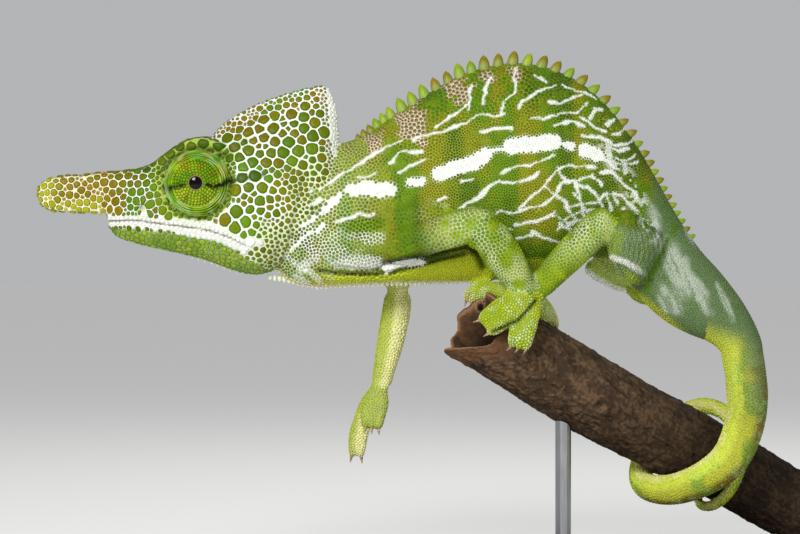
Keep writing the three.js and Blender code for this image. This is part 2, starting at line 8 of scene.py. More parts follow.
import bpy
import numpy as np
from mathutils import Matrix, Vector


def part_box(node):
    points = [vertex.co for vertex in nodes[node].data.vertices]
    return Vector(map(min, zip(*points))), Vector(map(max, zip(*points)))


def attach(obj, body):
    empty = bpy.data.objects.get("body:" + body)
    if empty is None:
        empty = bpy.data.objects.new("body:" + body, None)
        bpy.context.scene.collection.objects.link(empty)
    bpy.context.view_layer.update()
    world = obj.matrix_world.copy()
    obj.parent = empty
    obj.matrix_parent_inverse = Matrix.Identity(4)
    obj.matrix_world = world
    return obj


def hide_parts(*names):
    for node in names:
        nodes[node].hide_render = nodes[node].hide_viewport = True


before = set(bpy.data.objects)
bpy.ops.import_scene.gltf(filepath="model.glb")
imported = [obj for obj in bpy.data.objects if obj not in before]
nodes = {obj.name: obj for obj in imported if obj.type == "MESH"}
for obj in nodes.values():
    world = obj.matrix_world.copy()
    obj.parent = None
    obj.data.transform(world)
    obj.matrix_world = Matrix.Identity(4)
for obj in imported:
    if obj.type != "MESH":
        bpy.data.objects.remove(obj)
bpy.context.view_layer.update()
rng = np.random.default_rng(11)

# %% [markdown]
# The animal's own origin is found from one solid whose place on the animal is known: the left eyeball.
# Everything after this follows the solids, even if the whole model were moved.

# %% The animal's origin
EYE_AT = np.array([-50.0, 7.8, 20.6])  # how far out each eyeball's middle is, on both sides
EYE_BALL = 4.9
low, high = (np.array(corner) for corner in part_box("eye_left"))
ANIMAL_AT = 500 * (low + high) - EYE_AT * [1, -1, 1]
print("animal at", np.round(ANIMAL_AT, 3).tolist(), "mm")

# %% [markdown]
# Every form below is a grid of points worked out with numpy from rows of measured stations.
# Between the rows a smooth cubic curve is used, the same one as in the solids, so both agree.

# %% A smooth curve through rows of numbers
TURN = 2 * np.pi


def full_turn(count):
    """Angles of count points spread evenly round a circle."""
    return np.linspace(0, TURN, count, endpoint=False)


def glide(rows, t):
    """Each value runs through its rows on a cubic whose slope at a row is half the step between
    that row's two neighbours; t goes from 0 at the first row to 1 at the last."""
    rows = np.asarray(rows, float)
    place = np.clip(t, 0, 1) * (len(rows) - 1)
    row = np.minimum(place.astype(int), len(rows) - 2)
    f = (place - row)[..., None]
    before, here, there, after = (rows[np.clip(row + k, 0, len(rows) - 1)] for k in (-1, 0, 1, 2))
    leaving, arriving, rise = (there - before) / 2, (after - here) / 2, there - here
    bend, twist = 3 * rise - 2 * leaving - arriving, leaving + arriving - 2 * rise
    return here + f * (leaving + f * (bend + f * twist))


def unit(v):
    """A direction: each vector divided by its own length."""
    return v / np.maximum(np.linalg.norm(v, axis=-1, keepdims=True), 1e-12)


def soft_step(x, start, end):
    """0 before start, 1 after end, and 3s^2 - 2s^3 of the share s between them."""
    s = np.clip((x - start) / (end - start), 0, 1)
    return s * s * (3 - 2 * s)


# %% [markdown]
# The body is deep and narrow. Each of its sections is half of a superellipse above the widest level and
# half of one below it, which gives the sharp back and the rounder belly of a chameleon with one formula.

# %% Stations of the body
# [top x, top z, bottom x, bottom z, half width, share of widest level, top power, bottom power]
HEAD = [
    [-73.2, 15, -72.6, 10.6, 1.6, 0.5, 2, 2],
    [-71.4, 21, -71, 7.7, 3.4, 0.5, 2.2, 2],
    [-66.5, 24.3, -66.5, 5.9, 5.2, 0.48, 2.4, 2],
    [-62, 26, -62, 4.8, 6.4, 0.46, 2.5, 2],
    [-58, 29, -58, 3.9, 7.3, 0.46, 2.6, 2],
    [-54, 31.5, -54, 3, 7.9, 0.46, 2.6, 2],
    [-50, 32.6, -50, 2, 8.3, 0.45, 2.6, 2],
    [-46, 32.4, -46, 0.7, 8.7, 0.44, 2.4, 2],
    [-41.5, 29.6, -41.5, -1, 9.3, 0.44, 2.2, 2.1],
    [-37, 27.6, -37, -2, 9.6, 0.45, 2, 2.2],
    [-32.6, 26.6, -33, -1.5, 9.2, 0.46, 2, 2.2],
    [-27, 26, -29.5, 1, 8.2, 0.48, 2, 2.2],
    [-21, 25, -25, 5, 7.2, 0.5, 2, 2],
]
CASQUE = [
    [-48.4, 31, -46, 20, 5, 0.1, 1.4, 2],
    [-46.4, 33.6, -44, 19, 7.4, 0.1, 1.35, 2],
    [-43.4, 36.6, -41, 18, 8.4, 0.08, 1.3, 2],
    [-38.6, 39.6, -37, 17, 8.9, 0.06, 1.3, 2],
    [-33, 42, -32, 16, 8.8, 0.05, 1.3, 2],
    [-27, 44, -28, 16, 8.2, 0.05, 1.3, 2],
    [-22, 45.2, -25, 17, 7.6, 0.06, 1.3, 2],
    [-18.3, 45.3, -22.5, 18, 7, 0.08, 1.3, 2],
    [-16.4, 41.5, -21, 18, 6.6, 0.1, 1.35, 2],
    [-15.5, 36.5, -20, 18, 6.4, 0.12, 1.4, 2],
    [-15, 31, -19, 18, 6, 0.15, 1.5, 2],
]
BLADE = [
    [-90.4, 19.6, -90.4, 17.2, 0.7, 0.5, 2, 2],
    [-89.7, 21, -89.7, 15.6, 1.3, 0.5, 2, 2],
    [-87.9, 22.2, -87.9, 14.2, 1.8, 0.5, 2, 2],
    [-84.6, 22.9, -84.6, 13.6, 1.8, 0.5, 2.2, 2],
    [-80, 23.2, -80, 13.4, 1.9, 0.5, 2.4, 2],
    [-75, 23.7, -75, 13.2, 2.3, 0.5, 2.6, 2],
    [-70, 24.1, -70, 13, 3.6, 0.5, 2.6, 2],
    [-65, 24.8, -65, 14, 5.2, 0.5, 2.6, 2],
]
TRUNK = [
    [-17.5, 30, -34, 2, 6.3, 0.45, 1.9, 2],
    [-14.5, 31, -28.5, -3.2, 7, 0.42, 1.9, 2],
    [-9, 33, -21, -5, 8.2, 0.4, 1.8, 2],
    [-2, 37.8, -11, -4.5, 9.4, 0.38, 1.75, 2],
    [5, 42.2, -1, -4.1, 10.4, 0.38, 1.7, 2],
    [12.5, 46.7, 9, -4, 11.3, 0.38, 1.65, 1.95],
    [20, 49.7, 19, -3.8, 11.9, 0.39, 1.6, 1.9],
    [29, 51.2, 28, -2.8, 11.9, 0.4, 1.6, 1.9],
    [38, 49.6, 36, -0.8, 11.4, 0.41, 1.6, 1.9],
    [46, 45.6, 42.5, 1.2, 10.6, 0.42, 1.6, 1.9],
    [53, 39, 48, 2.4, 9.8, 0.44, 1.65, 1.95],
    [59, 30.8, 52.8, 0.8, 9, 0.46, 1.7, 2],
    [64, 22.2, 57, -3.5, 8.4, 0.48, 1.8, 2],
    [69, 13.3, 61.2, -9.2, 8, 0.5, 1.9, 2],
    [74.6, 5, 66.5, -13.8, 7.8, 0.5, 1.95, 2],
    [80.6, -1.8, 72, -16.8, 7.2, 0.5, 2, 2],
    [86.2, -9.4, 77, -18.8, 6, 0.5, 2, 2],
    [90.2, -17.6, 80, -21.4, 5.4, 0.5, 2, 2],
    [91.6, -26, 80.6, -26.4, 5.3, 0.5, 2, 2],
]


def keeled(rows, t, turn, grow=0.0):
    """Section points: up the line from the bottom to the top by reach times sine to the power 2/p, and out
    to the side by half width times cosine to the power 2/p; p is the top power above the widest level, else
    the bottom's."""
    top_x, top_z, low_x, low_z, wide, share, over, under = np.moveaxis(glide(rows, t), -1, 0)
    cos, sin = np.cos(turn), np.sin(turn)
    tall = np.hypot(top_x - low_x, top_z - low_z)
    power = 2 / np.where(sin > 0, over, under)
    reach = np.where(sin > 0, tall * (1 - share) + grow, -tall * share - grow)
    along = (tall * share + reach * np.abs(sin) ** power) / tall
    x = low_x + (top_x - low_x) * along
    z = low_z + (top_z - low_z) * along
    y = np.sign(cos) * (wide + grow) * np.abs(cos) ** power
    return np.stack(np.broadcast_arrays(x, y, z), -1)


COAT_DEPTH = 0.3  # how deep the skin lies under the solids' surface, which is where the scales reach


def body_form(rows, along, around):
    """A closed grid of the keeled form: along stations from end to end, around points a section."""
    t = np.linspace(0, 1, along)[:, None]
    turn = full_turn(around)[None, :]
    return keeled(rows, t, turn, -COAT_DEPTH)


# %% [markdown]
# Legs, toes and the tail are round in section, so they are a circle carried along a path.
# The section's first direction is handed on from step to step without twisting about the path.

# %% A tube along a path
def carried_frame(rows, t):
    """The path's direction at each t, and a sideways direction that starts on Y and loses, at each step,
    only what points along the path."""
    ahead, behind = glide(rows, np.minimum(t + 0.01, 1))[:, :3], glide(rows, np.maximum(t - 0.01, 0))[:, :3]
    along = unit(ahead - behind)
    depth = np.zeros_like(along)
    carried = np.array([0.0, 1.0, 0.0])
    for step, heading in enumerate(along):
        carried = unit(carried - heading * (carried @ heading))
        depth[step] = carried
    return along, depth


def limb_form(rows, along, around, ends=(0.0, 0.0), blunt=0.06, grow=-COAT_DEPTH):
    """Circle points: the path's point, plus half width times cosine sideways, plus half depth times sine in
    depth. Over the shares that ends names, the radius falls as the square root of 1 - (1 - s)^2, which
    rounds the end."""
    t = np.linspace(0, 1, along)
    row = glide(rows, t)
    heading, depth = carried_frame(rows, t)
    beside = np.cross(heading, depth)
    start = np.minimum(t / ends[0], 1) if ends[0] else np.ones(along)
    end = np.minimum((1 - t) / ends[1], 1) if ends[1] else np.ones(along)
    draw = np.sqrt(np.maximum(blunt, 1 - (1 - start) ** 2) * np.maximum(0.06, 1 - (1 - end) ** 2))
    turn = full_turn(around)[None, :, None]
    wide = (row[:, 3] * draw + grow)[:, None, None]
    deep = (row[:, 4] * draw + grow)[:, None, None]
    return row[:, None, :3] + beside[:, None] * wide * np.cos(turn) + depth[:, None] * deep * np.sin(turn)


# %% Stations of the limbs: [x, y, z, half width, half depth]
LEGS = {
    "upper_arm_left": [
        [-6, -3, 6, 5.6, 3.6], [1, -9, 6.4, 5.4, 4], [10, -12.6, 8, 4.9, 4.1], [18.6, -14.2, 9.8, 5, 4.2],
        [22, -14.4, 8.6, 4.6, 4],
    ],
    "forearm_left": [
        [20.4, -14.3, 9.6, 4.4, 4], [23, -14.3, 6, 4.9, 4.2], [26.6, -14, 0.6, 4.6, 4],
        [29.6, -13.2, -4, 3.7, 3.5], [31.2, -12.6, -6.8, 3.4, 3.3],
    ],
    "upper_arm_right": [
        [-6, 3, 5, 5, 3.6], [-2.6, 9, 2.4, 4.6, 3.8], [-0.8, 13.6, -1.4, 4, 3.8],
        [-0.6, 15.6, -5.6, 3.7, 3.6],
    ],
    "forearm_right": [
        [-0.5, 15.8, -5.6, 3.4, 3.4], [-0.9, 16.4, -11, 3.8, 3.6], [-2.4, 16.8, -19, 3.6, 3.4],
        [-4.2, 17, -27, 2.9, 2.9], [-5.2, 17, -31.4, 2.8, 2.8],
    ],
    "thigh_left": [
        [62.5, -3, 0, 6.6, 4], [59.6, -7.4, 2.8, 7.2, 4.6], [56, -11.6, 7, 6.2, 4.4],
        [52.4, -14.8, 12, 4.6, 4],
    ],
    "shank_left": [
        [51.6, -15, 12.8, 3.8, 3.8], [48, -14.6, 9.4, 4.3, 4], [42.6, -13.2, 4, 4.2, 3.8],
        [37, -11.2, -1.8, 3.7, 3.4], [32.6, -9.8, -6.4, 3.4, 3.2],
    ],
    "thigh_right": [
        [62, 3, -1, 5.2, 3.6], [58.4, 7, -0.2, 4.8, 3.9], [53.6, 10.6, 1.2, 4, 3.7],
        [49.8, 12.8, 2, 3.2, 3.2],
    ],
    "shank_right": [
        [48.6, 14.4, 0.8, 2.5, 2.8], [51, 15.4, -1, 2.8, 2.9], [55, 15.9, -3.2, 2.7, 2.7],
        [59.4, 15.8, -5, 2.4, 2.5],
    ],
}
BUNDLES = {  # bundles of toes that are grown together
    "hand_left_outer": [
        [31.4, -12.4, -6, 3.2, 3], [28.6, -14.2, -8.8, 3.8, 3.1], [24.6, -16.2, -11.6, 3.5, 2.8],
        [20.6, -17.8, -14.4, 3, 2.5],
    ],
    "hand_left_inner": [
        [30.4, -10.6, -6.8, 2.8, 2.6], [26.6, -7.4, -6.6, 2.7, 2.4], [22.4, -4, -5.7, 2.5, 2.2],
        [19.4, -0.6, -6.2, 2.4, 2.1], [18, 2.2, -8.8, 2.1, 1.9],
    ],
    "hand_right_inner": [
        [-5.2, 16.4, -31, 2.8, 2.4], [-6.2, 15, -34.6, 3.5, 2.4], [-6.9, 13.8, -38, 3.3, 2.2],
        [-7.2, 12.8, -41, 2.7, 1.9],
    ],
    "hand_right_outer": [
        [-5.8, 17.8, -31.4, 2.4, 2.4], [-8.6, 19.6, -36.6, 2.5, 2.4], [-10.6, 21, -43, 2.4, 2.2],
        [-11.3, 21.8, -49, 2, 1.9],
    ],
    "foot_left_outer": [
        [32.2, -10.4, -6.8, 3, 3], [31.4, -13.4, -10.4, 3.2, 2.8], [30, -15.8, -14.6, 3.3, 2.6],
        [28.8, -16.6, -19.6, 2.9, 2.3],
    ],
    "foot_left_inner": [
        [33, -8.6, -7.6, 2.8, 2.8], [34.6, -4.6, -9.8, 2.8, 2.6], [36.2, 0, -11.6, 2.8, 2.4],
        [37.2, 4.8, -13.6, 2.6, 2.2], [36.8, 8.6, -17.2, 2.1, 1.9],
    ],
    "foot_right_outer": [
        [59, 16, -5, 2.3, 2.4], [61.8, 17.2, -6.8, 2.6, 2.3], [64.4, 17.4, -7.5, 2.4, 2.1],
        [66.4, 16.6, -6.4, 2, 1.9],
    ],
    "foot_right_inner": [
        [59.2, 14.8, -5.2, 2.2, 2.2], [61.8, 12.6, -6.4, 2.5, 2.1], [64.4, 11.4, -6.2, 2.3, 2],
        [66, 10.8, -4.4, 1.9, 1.8],
    ],
}
SHOULDER = [[-10, -5.5, 10.5, 3, 3], [-3, -7.6, 11.8, 4, 3.6], [6, -9.6, 12.6, 4, 3.6],
            [13, -10.6, 13, 3.2, 3]]


def toe_count(bundle):
    """Three toes in the inner bundle of a hand and in the outer bundle of a foot, and two in the others."""
    return 3 if ("hand" in bundle) == ("inner" in bundle) else 2


print("limbs", len(LEGS), "toe bundles", len(BUNDLES), "toes", sum(toe_count(name) for name in BUNDLES))

# %% [markdown]
# The tail drops from the rump and winds round the branch one and a half times. It is easiest to say where
# it goes in the branch's own terms: degrees round it, distance from its axis, and distance along it.

# %% The branch's axis and the tail's path round it
PERCH_ORIGIN = np.array([25, -4, -19.5])
PERCH_ALONG = unit(np.array([0.816, 0.365, -0.448]))
PERCH_UP = unit(np.array([0, 0, 1]) - PERCH_ALONG * PERCH_ALONG[2])
PERCH_FRONT = unit(np.cross(PERCH_ALONG, PERCH_UP))


def around_perch(turn, reach, along):
    """The axis point at that distance along, plus reach times cosine of the turn upwards and times sine to
    the front."""
    turn, reach, along = (np.asarray(v, float)[..., None] for v in np.broadcast_arrays(turn, reach, along))
    up, front = PERCH_UP * reach * np.cos(turn), PERCH_FRONT * reach * np.sin(turn)
    return PERCH_ORIGIN + PERCH_ALONG * along + up + front


WRAP = np.array([  # [degrees round, distance from the axis, distance along, tail radius]
    [92, 17.6, 62.4, 4.9],
    [116, 16.4, 60, 4.5],
    [145, 15, 57, 4.1],
    [175, 14, 54.8, 3.7],
    [205, 13.3, 54.6, 3.3],
    [240, 13, 55.8, 3],
    [275, 12.9, 57.6, 2.75],
    [310, 12.8, 59.6, 2.5],
    [345, 12.7, 61.6, 2.3],
    [380, 12.4, 64.2, 2.1],
    [415, 12.1, 67, 1.95],
    [450, 11.8, 69.4, 1.8],
    [485, 11.6, 70.8, 1.65],
    [520, 11.5, 71.4, 1.5],
    [555, 11.4, 71.8, 1.3],
    [590, 11.1, 72.6, 1],
])
wrapped = around_perch(np.radians(WRAP[:, 0]), WRAP[:, 1], WRAP[:, 2])
TAIL = np.vstack([
    [[86.1, 0, -23, 5.5, 5.3], [86.9, 0.8, -33.2, 5.3, 5.2], [86, 1.9, -40.8, 5.1, 5.1]],
    np.hstack([wrapped, WRAP[:, 3:], WRAP[:, 3:]]),
])

# %% [markdown]
# A chameleon's eyelids are fused into a cone round the eyeball, with a hole no wider than the pupil.
# The cone is a profile turned about the eye's axis, with a dimple at its tip where the eyeball shows.

# %% The eye turret
TURRET = [  # [distance from the eye's axis, distance out from the middle plane]
    [0.01, 3],
    [8.0, 3],
    [8.2, 5],
    [8.1, 6.6],
    [7.7, 8.3],
    [6.6, 10.1],
    [5.05, 11.45],
    [3.4, 12.4],
    [2.3, 12.8],
    [1.9, 12.75],
    [1.6, 12.3],
    [1.3, 12.0],
    [0.01, 11.9],
]


def turret_form(side, steps, around):
    """The profile's distance from the axis times cosine and sine of the turn, with its distance out along
    Y."""
    profile = glide(TURRET, np.linspace(0, 1, steps))
    turn = full_turn(around)[None, :]
    reach, out = profile[:, :1], profile[:, 1:]
    x = EYE_AT[0] + reach * np.cos(turn)
    z = EYE_AT[2] + reach * np.sin(turn)
    y = side * (out + 0 * turn)
    grid = np.stack([x, y, z], -1)
    return grid if side < 0 else grid[:, ::-1]


# %% [markdown]
# Toes: near its end each bundle parts into two or three rounded toe tips, side by side.

# %% Toe tips
def toe_places(rows, count):
    """The end of a bundle: its tip, heading and sideways direction, with the toes' places across it from -1
    to 1."""
    tip, before = glide(rows, np.array([1.0, 0.93]))
    along = unit(tip[:3] - before[:3])
    across = unit(np.array([0, 1, 0]) - along * along[1])
    beside = np.cross(along, across)
    places = np.array([-1.0, 0, 1]) if count == 3 else np.array([-1.0, 1])
    return tip, along, beside, places


def toe_forms(rows, count):
    """Each toe is a short tube from inside the bundle to just past its tip, moved sideways by its place."""
    tip, along, beside, places = toe_places(rows, count)
    width = tip[3] * (0.5 if count == 3 else 0.6)
    forms = []
    for place in places:
        t = np.linspace(0.55, 1, 5)
        row = glide(rows, t)
        path = row[:, :3] + beside * place * (row[:, 3:4] * 0.56)
        path[-1] += along * 0.35
        size = np.column_stack([np.full(5, width) * [1.1, 1.1, 1.05, 1, 0.9]] * 2)
        size[:, 1] = row[:, 4] * [0.8, 0.9, 0.95, 0.95, 0.85]
        forms.append(limb_form(np.hstack([path, size]), 14, 16, (0, 0.35)))
    return forms


# %% All the forms of flesh
forms, form_names = [], []


def keep_form(name, grid):
    """Adds one closed grid to the list of forms that the skin is drawn over."""
    forms.append(grid)
    form_names.append(name)


keep_form("trunk", body_form(TRUNK, 170, 96))
keep_form("head", body_form(HEAD, 84, 72))
keep_form("casque", body_form(CASQUE, 60, 72))
keep_form("blade", body_form(BLADE, 44, 28))
keep_form("tail", limb_form(TAIL, 260, 28, (0, 0.03)))
for name, rows in LEGS.items():
    keep_form(name, limb_form(rows, 36, 30, (0.14, 0.12), 0.4))
for name, rows in BUNDLES.items():
    keep_form(name, limb_form(rows, 28, 24, (0.12, 0.3), 0.4))
    for toe in toe_forms(rows, toe_count(name)):
        keep_form(name + "_toe", toe)
keep_form("upper_arm_left", limb_form(SHOULDER, 24, 24, (0.3, 0.3)))
for side in (-1, 1):
    keep_form("turret", turret_form(side, 40, 48))
print("forms", len(forms), "points", sum(f.shape[0] * f.shape[1] for f in forms))

# %% [markdown]
# A grid becomes a closed mesh: each cell is a four-sided face, and each end is closed by a fan to its middle.
# The whole mesh is written at once from arrays, which is far quicker than adding faces one by one.

# %% Meshes from arrays
def placed(points):
    """Millimetres from the animal's origin, turned into metres of the model."""
    return (np.asarray(points) + ANIMAL_AT) * 0.001


def linked(name, data):
    """A new object with that data, put in the scene."""
    thing = bpy.data.objects.new(name, data)
    bpy.context.scene.collection.objects.link(thing)
    return thing


def mesh_of(name, points, corners, sizes):
    """Points in animal millimetres, all faces' corners in one row, and how many corners each face takes."""
    mesh = bpy.data.meshes.new(name)
    mesh.vertices.add(len(points))
    mesh.vertices.foreach_set("co", placed(points).astype(np.float32).ravel())
    mesh.loops.add(len(corners))
    mesh.loops.foreach_set("vertex_index", np.asarray(corners, np.int32))
    mesh.polygons.add(len(sizes))
    mesh.polygons.foreach_set("loop_start", (np.cumsum(sizes) - sizes).astype(np.int32))
    mesh.update(calc_edges=True)
    mesh.validate()
    mesh.shade_smooth()
    return linked(name, mesh)


def grid_faces(along, around, first=0):
    """Corners of the cells of a grid that closes round its second direction, with fans to two added middle
    points."""
    i, j = np.meshgrid(np.arange(along - 1), np.arange(around), indexing="ij")
    right = (j + 1) % around
    cells = np.stack([i * around + j, i * around + right, (i + 1) * around + right, (i + 1) * around + j], -1)
    ring = np.arange(around)
    ahead = (ring + 1) % around
    start, end = along * around, along * around + 1
    last = (along - 1) * around
    fan_start = np.stack([np.full(around, start), ahead, ring], -1)
    fan_end = np.stack([np.full(around, end), last + ring, last + ahead], -1)
    corners = np.concatenate([cells.ravel(), fan_start.ravel(), fan_end.ravel()]) + first
    return corners, np.concatenate([np.full(cells.size // 4, 4), np.full(2 * around, 3)])


def closed_points(grid):
    """The grid's points in one list, with the middles of its first and last ring at the end."""
    return np.concatenate([grid.reshape(-1, 3), grid[0].mean(0)[None], grid[-1].mean(0)[None]])


def grid_object(name, grids):
    """One mesh of several closed grids; each is turned inside out if its volume comes out negative."""
    points, corners, sizes, first = [], [], [], 0
    for grid in grids:
        flat = closed_points(grid)
        face, size = grid_faces(*grid.shape[:2])
        quads = face[: 4 * np.sum(size == 4)].reshape(-1, 4)
        a, b, c, d = (flat[quads[:, k]] - flat.mean(0) for k in range(4))
        volume = np.sum(a * np.cross(b, c)) + np.sum(a * np.cross(c, d))
        if volume < 0:
            fans = face[4 * len(quads) :].reshape(-1, 3)
            face = np.concatenate([quads[:, ::-1].ravel(), fans[:, ::-1].ravel()])
        points.append(flat)
        corners.append(face + first)
        sizes.append(size)
        first += len(flat)
    return mesh_of(name, np.concatenate(points), np.concatenate(corners), np.concatenate(sizes))


# %% [markdown]
# The forms overlap like lumps of clay. A voxel remesh draws one surface over all of them and throws away
# what is inside, and a few rounds of smoothing then take out the small steps and soften the joins into real
# armpits and groins. Each round moves points towards the mean of their neighbours and then a little back,
# so nothing shrinks.

# %% One skin over all the forms
VOXEL = 0.62


def numbers_of(items, key, kind=np.float32, width=1):
    """The numbers that a mesh keeps under that key for all its items, width of them for each, in one row."""
    row = np.empty(len(items) * width, kind)
    items.foreach_get(key, row)
    return row


def neighbours_mean(values, edges):
    """For each point, the mean of its neighbours' values along the edges, in one column or in several."""
    a, b = edges.T
    count = np.maximum(np.bincount(a, minlength=len(values)) + np.bincount(b, minlength=len(values)), 1)
    columns = values.reshape(len(values), -1).T
    total = [np.bincount(a, v[b], len(v)) + np.bincount(b, v[a], len(v)) for v in columns]
    return (np.stack(total, -1) / count[:, None]).reshape(values.shape)


def smoothed(points, edges, rounds):
    """Each round: a step of half way to the neighbours' mean, then a step of 0.52 back from the new mean."""
    for step in (0.5, -0.52) * rounds:
        points = points + step * (neighbours_mean(points, edges) - points)
    return points


skin = grid_object("skin", forms)
skin.data.remesh_voxel_size = VOXEL * 0.001
bpy.context.view_layer.objects.active = skin
skin.select_set(True)
bpy.ops.object.voxel_remesh()
skin.select_set(False)
edges = numbers_of(skin.data.edges, "vertices", np.int32, 2).reshape(-1, 2)
raw_points = numbers_of(skin.data.vertices, "co", width=3).reshape(-1, 3).astype(float) * 1000 - ANIMAL_AT
skin_points = smoothed(raw_points, edges, 5)
print("skin points", len(skin_points), "faces", len(skin.data.polygons))


def write_skin(points):
    """Puts the points back in the skin's mesh and reads the new normals."""
    skin.data.vertices.foreach_set("co", placed(points).astype(np.float32).ravel())
    skin.data.update()
    return numbers_of(skin.data.vertex_normals, "vector", width=3).reshape(-1, 3).astype(float)


skin_normals = write_skin(skin_points)
print("voxels of", VOXEL, "mm")

# %% [markdown]
# Many steps below ask which point of one set is nearest to each point of another. Both sets are dropped
# into a grid of boxes, and only the boxes round each point are searched, so whole arrays are compared at
# once.

# %% Neighbours by boxes
def close_pairs(here, there, reach):
    """All pairs of a point here and a point there that are closer than reach, as two rows of indices and a
    row of distances. Points are sorted by box number, so three boxes in a row along Z are one run found by
    bisection."""
    lowest = np.minimum(here.min(0), there.min(0)) - reach
    box_here = ((here - lowest) / reach).astype(np.int64)
    box_there = ((there - lowest) / reach).astype(np.int64)
    span = np.maximum(box_here.max(0), box_there.max(0)) + 3
    number = lambda box: ((box[:, 0] + 1) * span[1] + box[:, 1] + 1) * span[2] + box[:, 2] + 1
    order = np.argsort(number(box_there), kind="stable")
    run = number(box_there)[order]
    found = []
    for shift in np.ndindex(3, 3):
        key = number(box_here + np.array([*shift, 1]) - 1)
        first, last = np.searchsorted(run, key - 1, "left"), np.searchsorted(run, key + 1, "right")
        count = last - first
        i = np.repeat(np.arange(len(here)), count)
        j = order[np.repeat(first - np.cumsum(count) + count, count) + np.arange(count.sum())]
        gap = np.linalg.norm(here[i] - there[j], axis=1)
        near = gap < reach
        found.append((i[near], j[near], gap[near]))
    return (np.concatenate(part) for part in zip(*found))


def nearest(here, there, reach):
    """For each point here the index of its nearest point there, or -1 where none is within reach."""
    best = np.full(len(here), -1)
    for start in range(0, len(here), 60000):
        i, j, gap = close_pairs(here[start : start + 60000], there, reach)
        order = np.lexsort((gap, i))
        i, j = i[order], j[order]
        first = np.r_[True, i[1:] != i[:-1]][: len(i)]
        best[start + i[first]] = j[first]
    return best


# %% [markdown]
# Each skin point now learns which form it came from, and how far along and round that form it sits.
# That map steers the size and colour of the scales, and it also unrolls the skin for the coat's UV map.

# %% A map of the body on the skin
form_points = np.concatenate([f.reshape(-1, 3) for f in forms])
form_of = np.concatenate([np.full(f.shape[0] * f.shape[1], k) for k, f in enumerate(forms)])
form_along = np.concatenate([np.repeat(np.linspace(0, 1, f.shape[0]), f.shape[1]) for f in forms])
form_round = np.concatenate([np.tile(np.arange(f.shape[1]) / f.shape[1], f.shape[0]) for f in forms])
match = nearest(skin_points, form_points, 1.4)
lost = match < 0
match[lost] = nearest(skin_points[lost], form_points, 4.0)
match = np.maximum(match, 0)
skin_form, skin_along, skin_round = form_of[match], form_along[match], form_round[match]
skin_part = np.array(form_names)[skin_form]
SKULL = ["head", "casque", "blade"]
BODY = SKULL + ["trunk", "tail", "turret"]
THIGHS = ["thigh_left", "thigh_right"]
GRIPS = [name for name in form_names if "hand" in name or "foot" in name]
print("skin points by part", {n: int(np.sum(skin_part == n)) for n in dict.fromkeys(form_names)})

# %% [markdown]
# Where two forms meet, such as shoulder and arm, a live animal has no edge. Points next to a join are
# marked, the mark spreads to their neighbours and fades, and the marked points are smoothed as strongly as
# they are marked.

# %% Soft joins
def joins_softened(points, edges, part, spread, rounds):
    """Mark 1 where an edge joins two parts; each round of spreading takes the neighbours' mean but keeps
    the 1s. Then each smoothing round moves a point towards its neighbours' mean by 0.6 times its mark."""
    a, b = edges.T
    seam = (part[a] != part[b]) & ~np.isin(part[a], STIFF) & ~np.isin(part[b], STIFF)
    core = np.zeros(len(points))
    core[a[seam]] = core[b[seam]] = 1
    mark = core
    for _ in range(spread):
        mark = np.maximum(core, neighbours_mean(mark, edges))
    mark = np.minimum(1, 1.6 * mark)
    for _ in range(rounds):
        points = points + 0.6 * mark[:, None] * (neighbours_mean(points, edges) - points)
    return points


STIFF = ["turret", "blade", "casque"] + [n for n in dict.fromkeys(form_names) if n.endswith("_toe")]
before = skin_points
skin_points = joins_softened(skin_points, edges, skin_part, 9, 30)
skin_normals = write_skin(skin_points)
print("joins moved by up to", round(np.linalg.norm(skin_points - before, axis=1).max(), 2), "mm")

# %% [markdown]
# Relief: the mouth's line, the nostril, the groove round each turret, the brow ridge and the creases of the
# neck are pressed into the skin, or raised from it, along its normals. Each is a bell curve of the distance
# from a line.

# %% Lines of the relief, in side view: (x, z)
NOSTRIL = (-64.1, 14.8)
MOUTH = [(-73.5, 11.3), (-72, 11.4), (-66, 11.6), (-58, 10.5), (-52, 9.7), (-47, 8.9), (-42, 7.2),
         (-38.4, 5.2)]
BROW = [(-62.5, 25.2), (-60.4, 26.4), (-57.6, 28.9), (-54.5, 30.8), (-51, 31.4), (-47.4, 31), (-44.6, 29.6)]
BROW_GROOVE = [(-59.6, 23.2), (-57.4, 26.4), (-53.4, 29.1), (-49.6, 29.9), (-45.6, 29.1), (-42.4, 27)]
TEMPLE_RIDGE = [(-44.6, 29.6), (-41.5, 30.4), (-37.6, 33.4), (-32.5, 36.6)]
CREASES = [  # depth, half width and line of each fold in the skin
    (0.6, 0.5, [(-31.5, -1.6), (-30, -0.2), (-27.6, 5.4), (-26.9, 10), (-25.5, 16.3), (-23.7, 23)]),
    (0.3, 0.4, [(-29.5, -2.5), (-27.2, 1.4), (-25.2, 6.5), (-24.2, 11)]),
    (0.25, 0.4, [(-27.5, -3), (-24.6, 1.6), (-22.6, 6)]),
    (0.35, 0.5, [(-17.5, 10.4), (-14.2, 11.8), (-11, 12.5), (-7, 12.2), (-3, 11.5)]),
    (0.9, 0.5, [(-20.2, -0.9), (-16, -1.6), (-11, -1.8), (-6.2, -2), (-0.9, -1.2), (4.4, 0.3), (10, 1.8),
                (16, 3.2)]),
    (0.35, 0.35, [(-16.5, 0.2), (-11.5, -0.3), (-6.8, -0.6), (-2, 0.2)]),
    (0.35, 0.5, [(66.4, 7), (63.6, 2.4), (61.4, -2.2)]),
]
ARMPIT = [(-3.5, 0.9), (4, 2.5), (11, 4.4), (16.5, 6.1), (19, 3.6), (20.6, 0)]
HAND_CREASE = (1.2, 0.45, [(22.6, -15.6), (23.9, -15.1), (28.5, -13.1), (31.7, -9.8), (33.2, -8.2)])
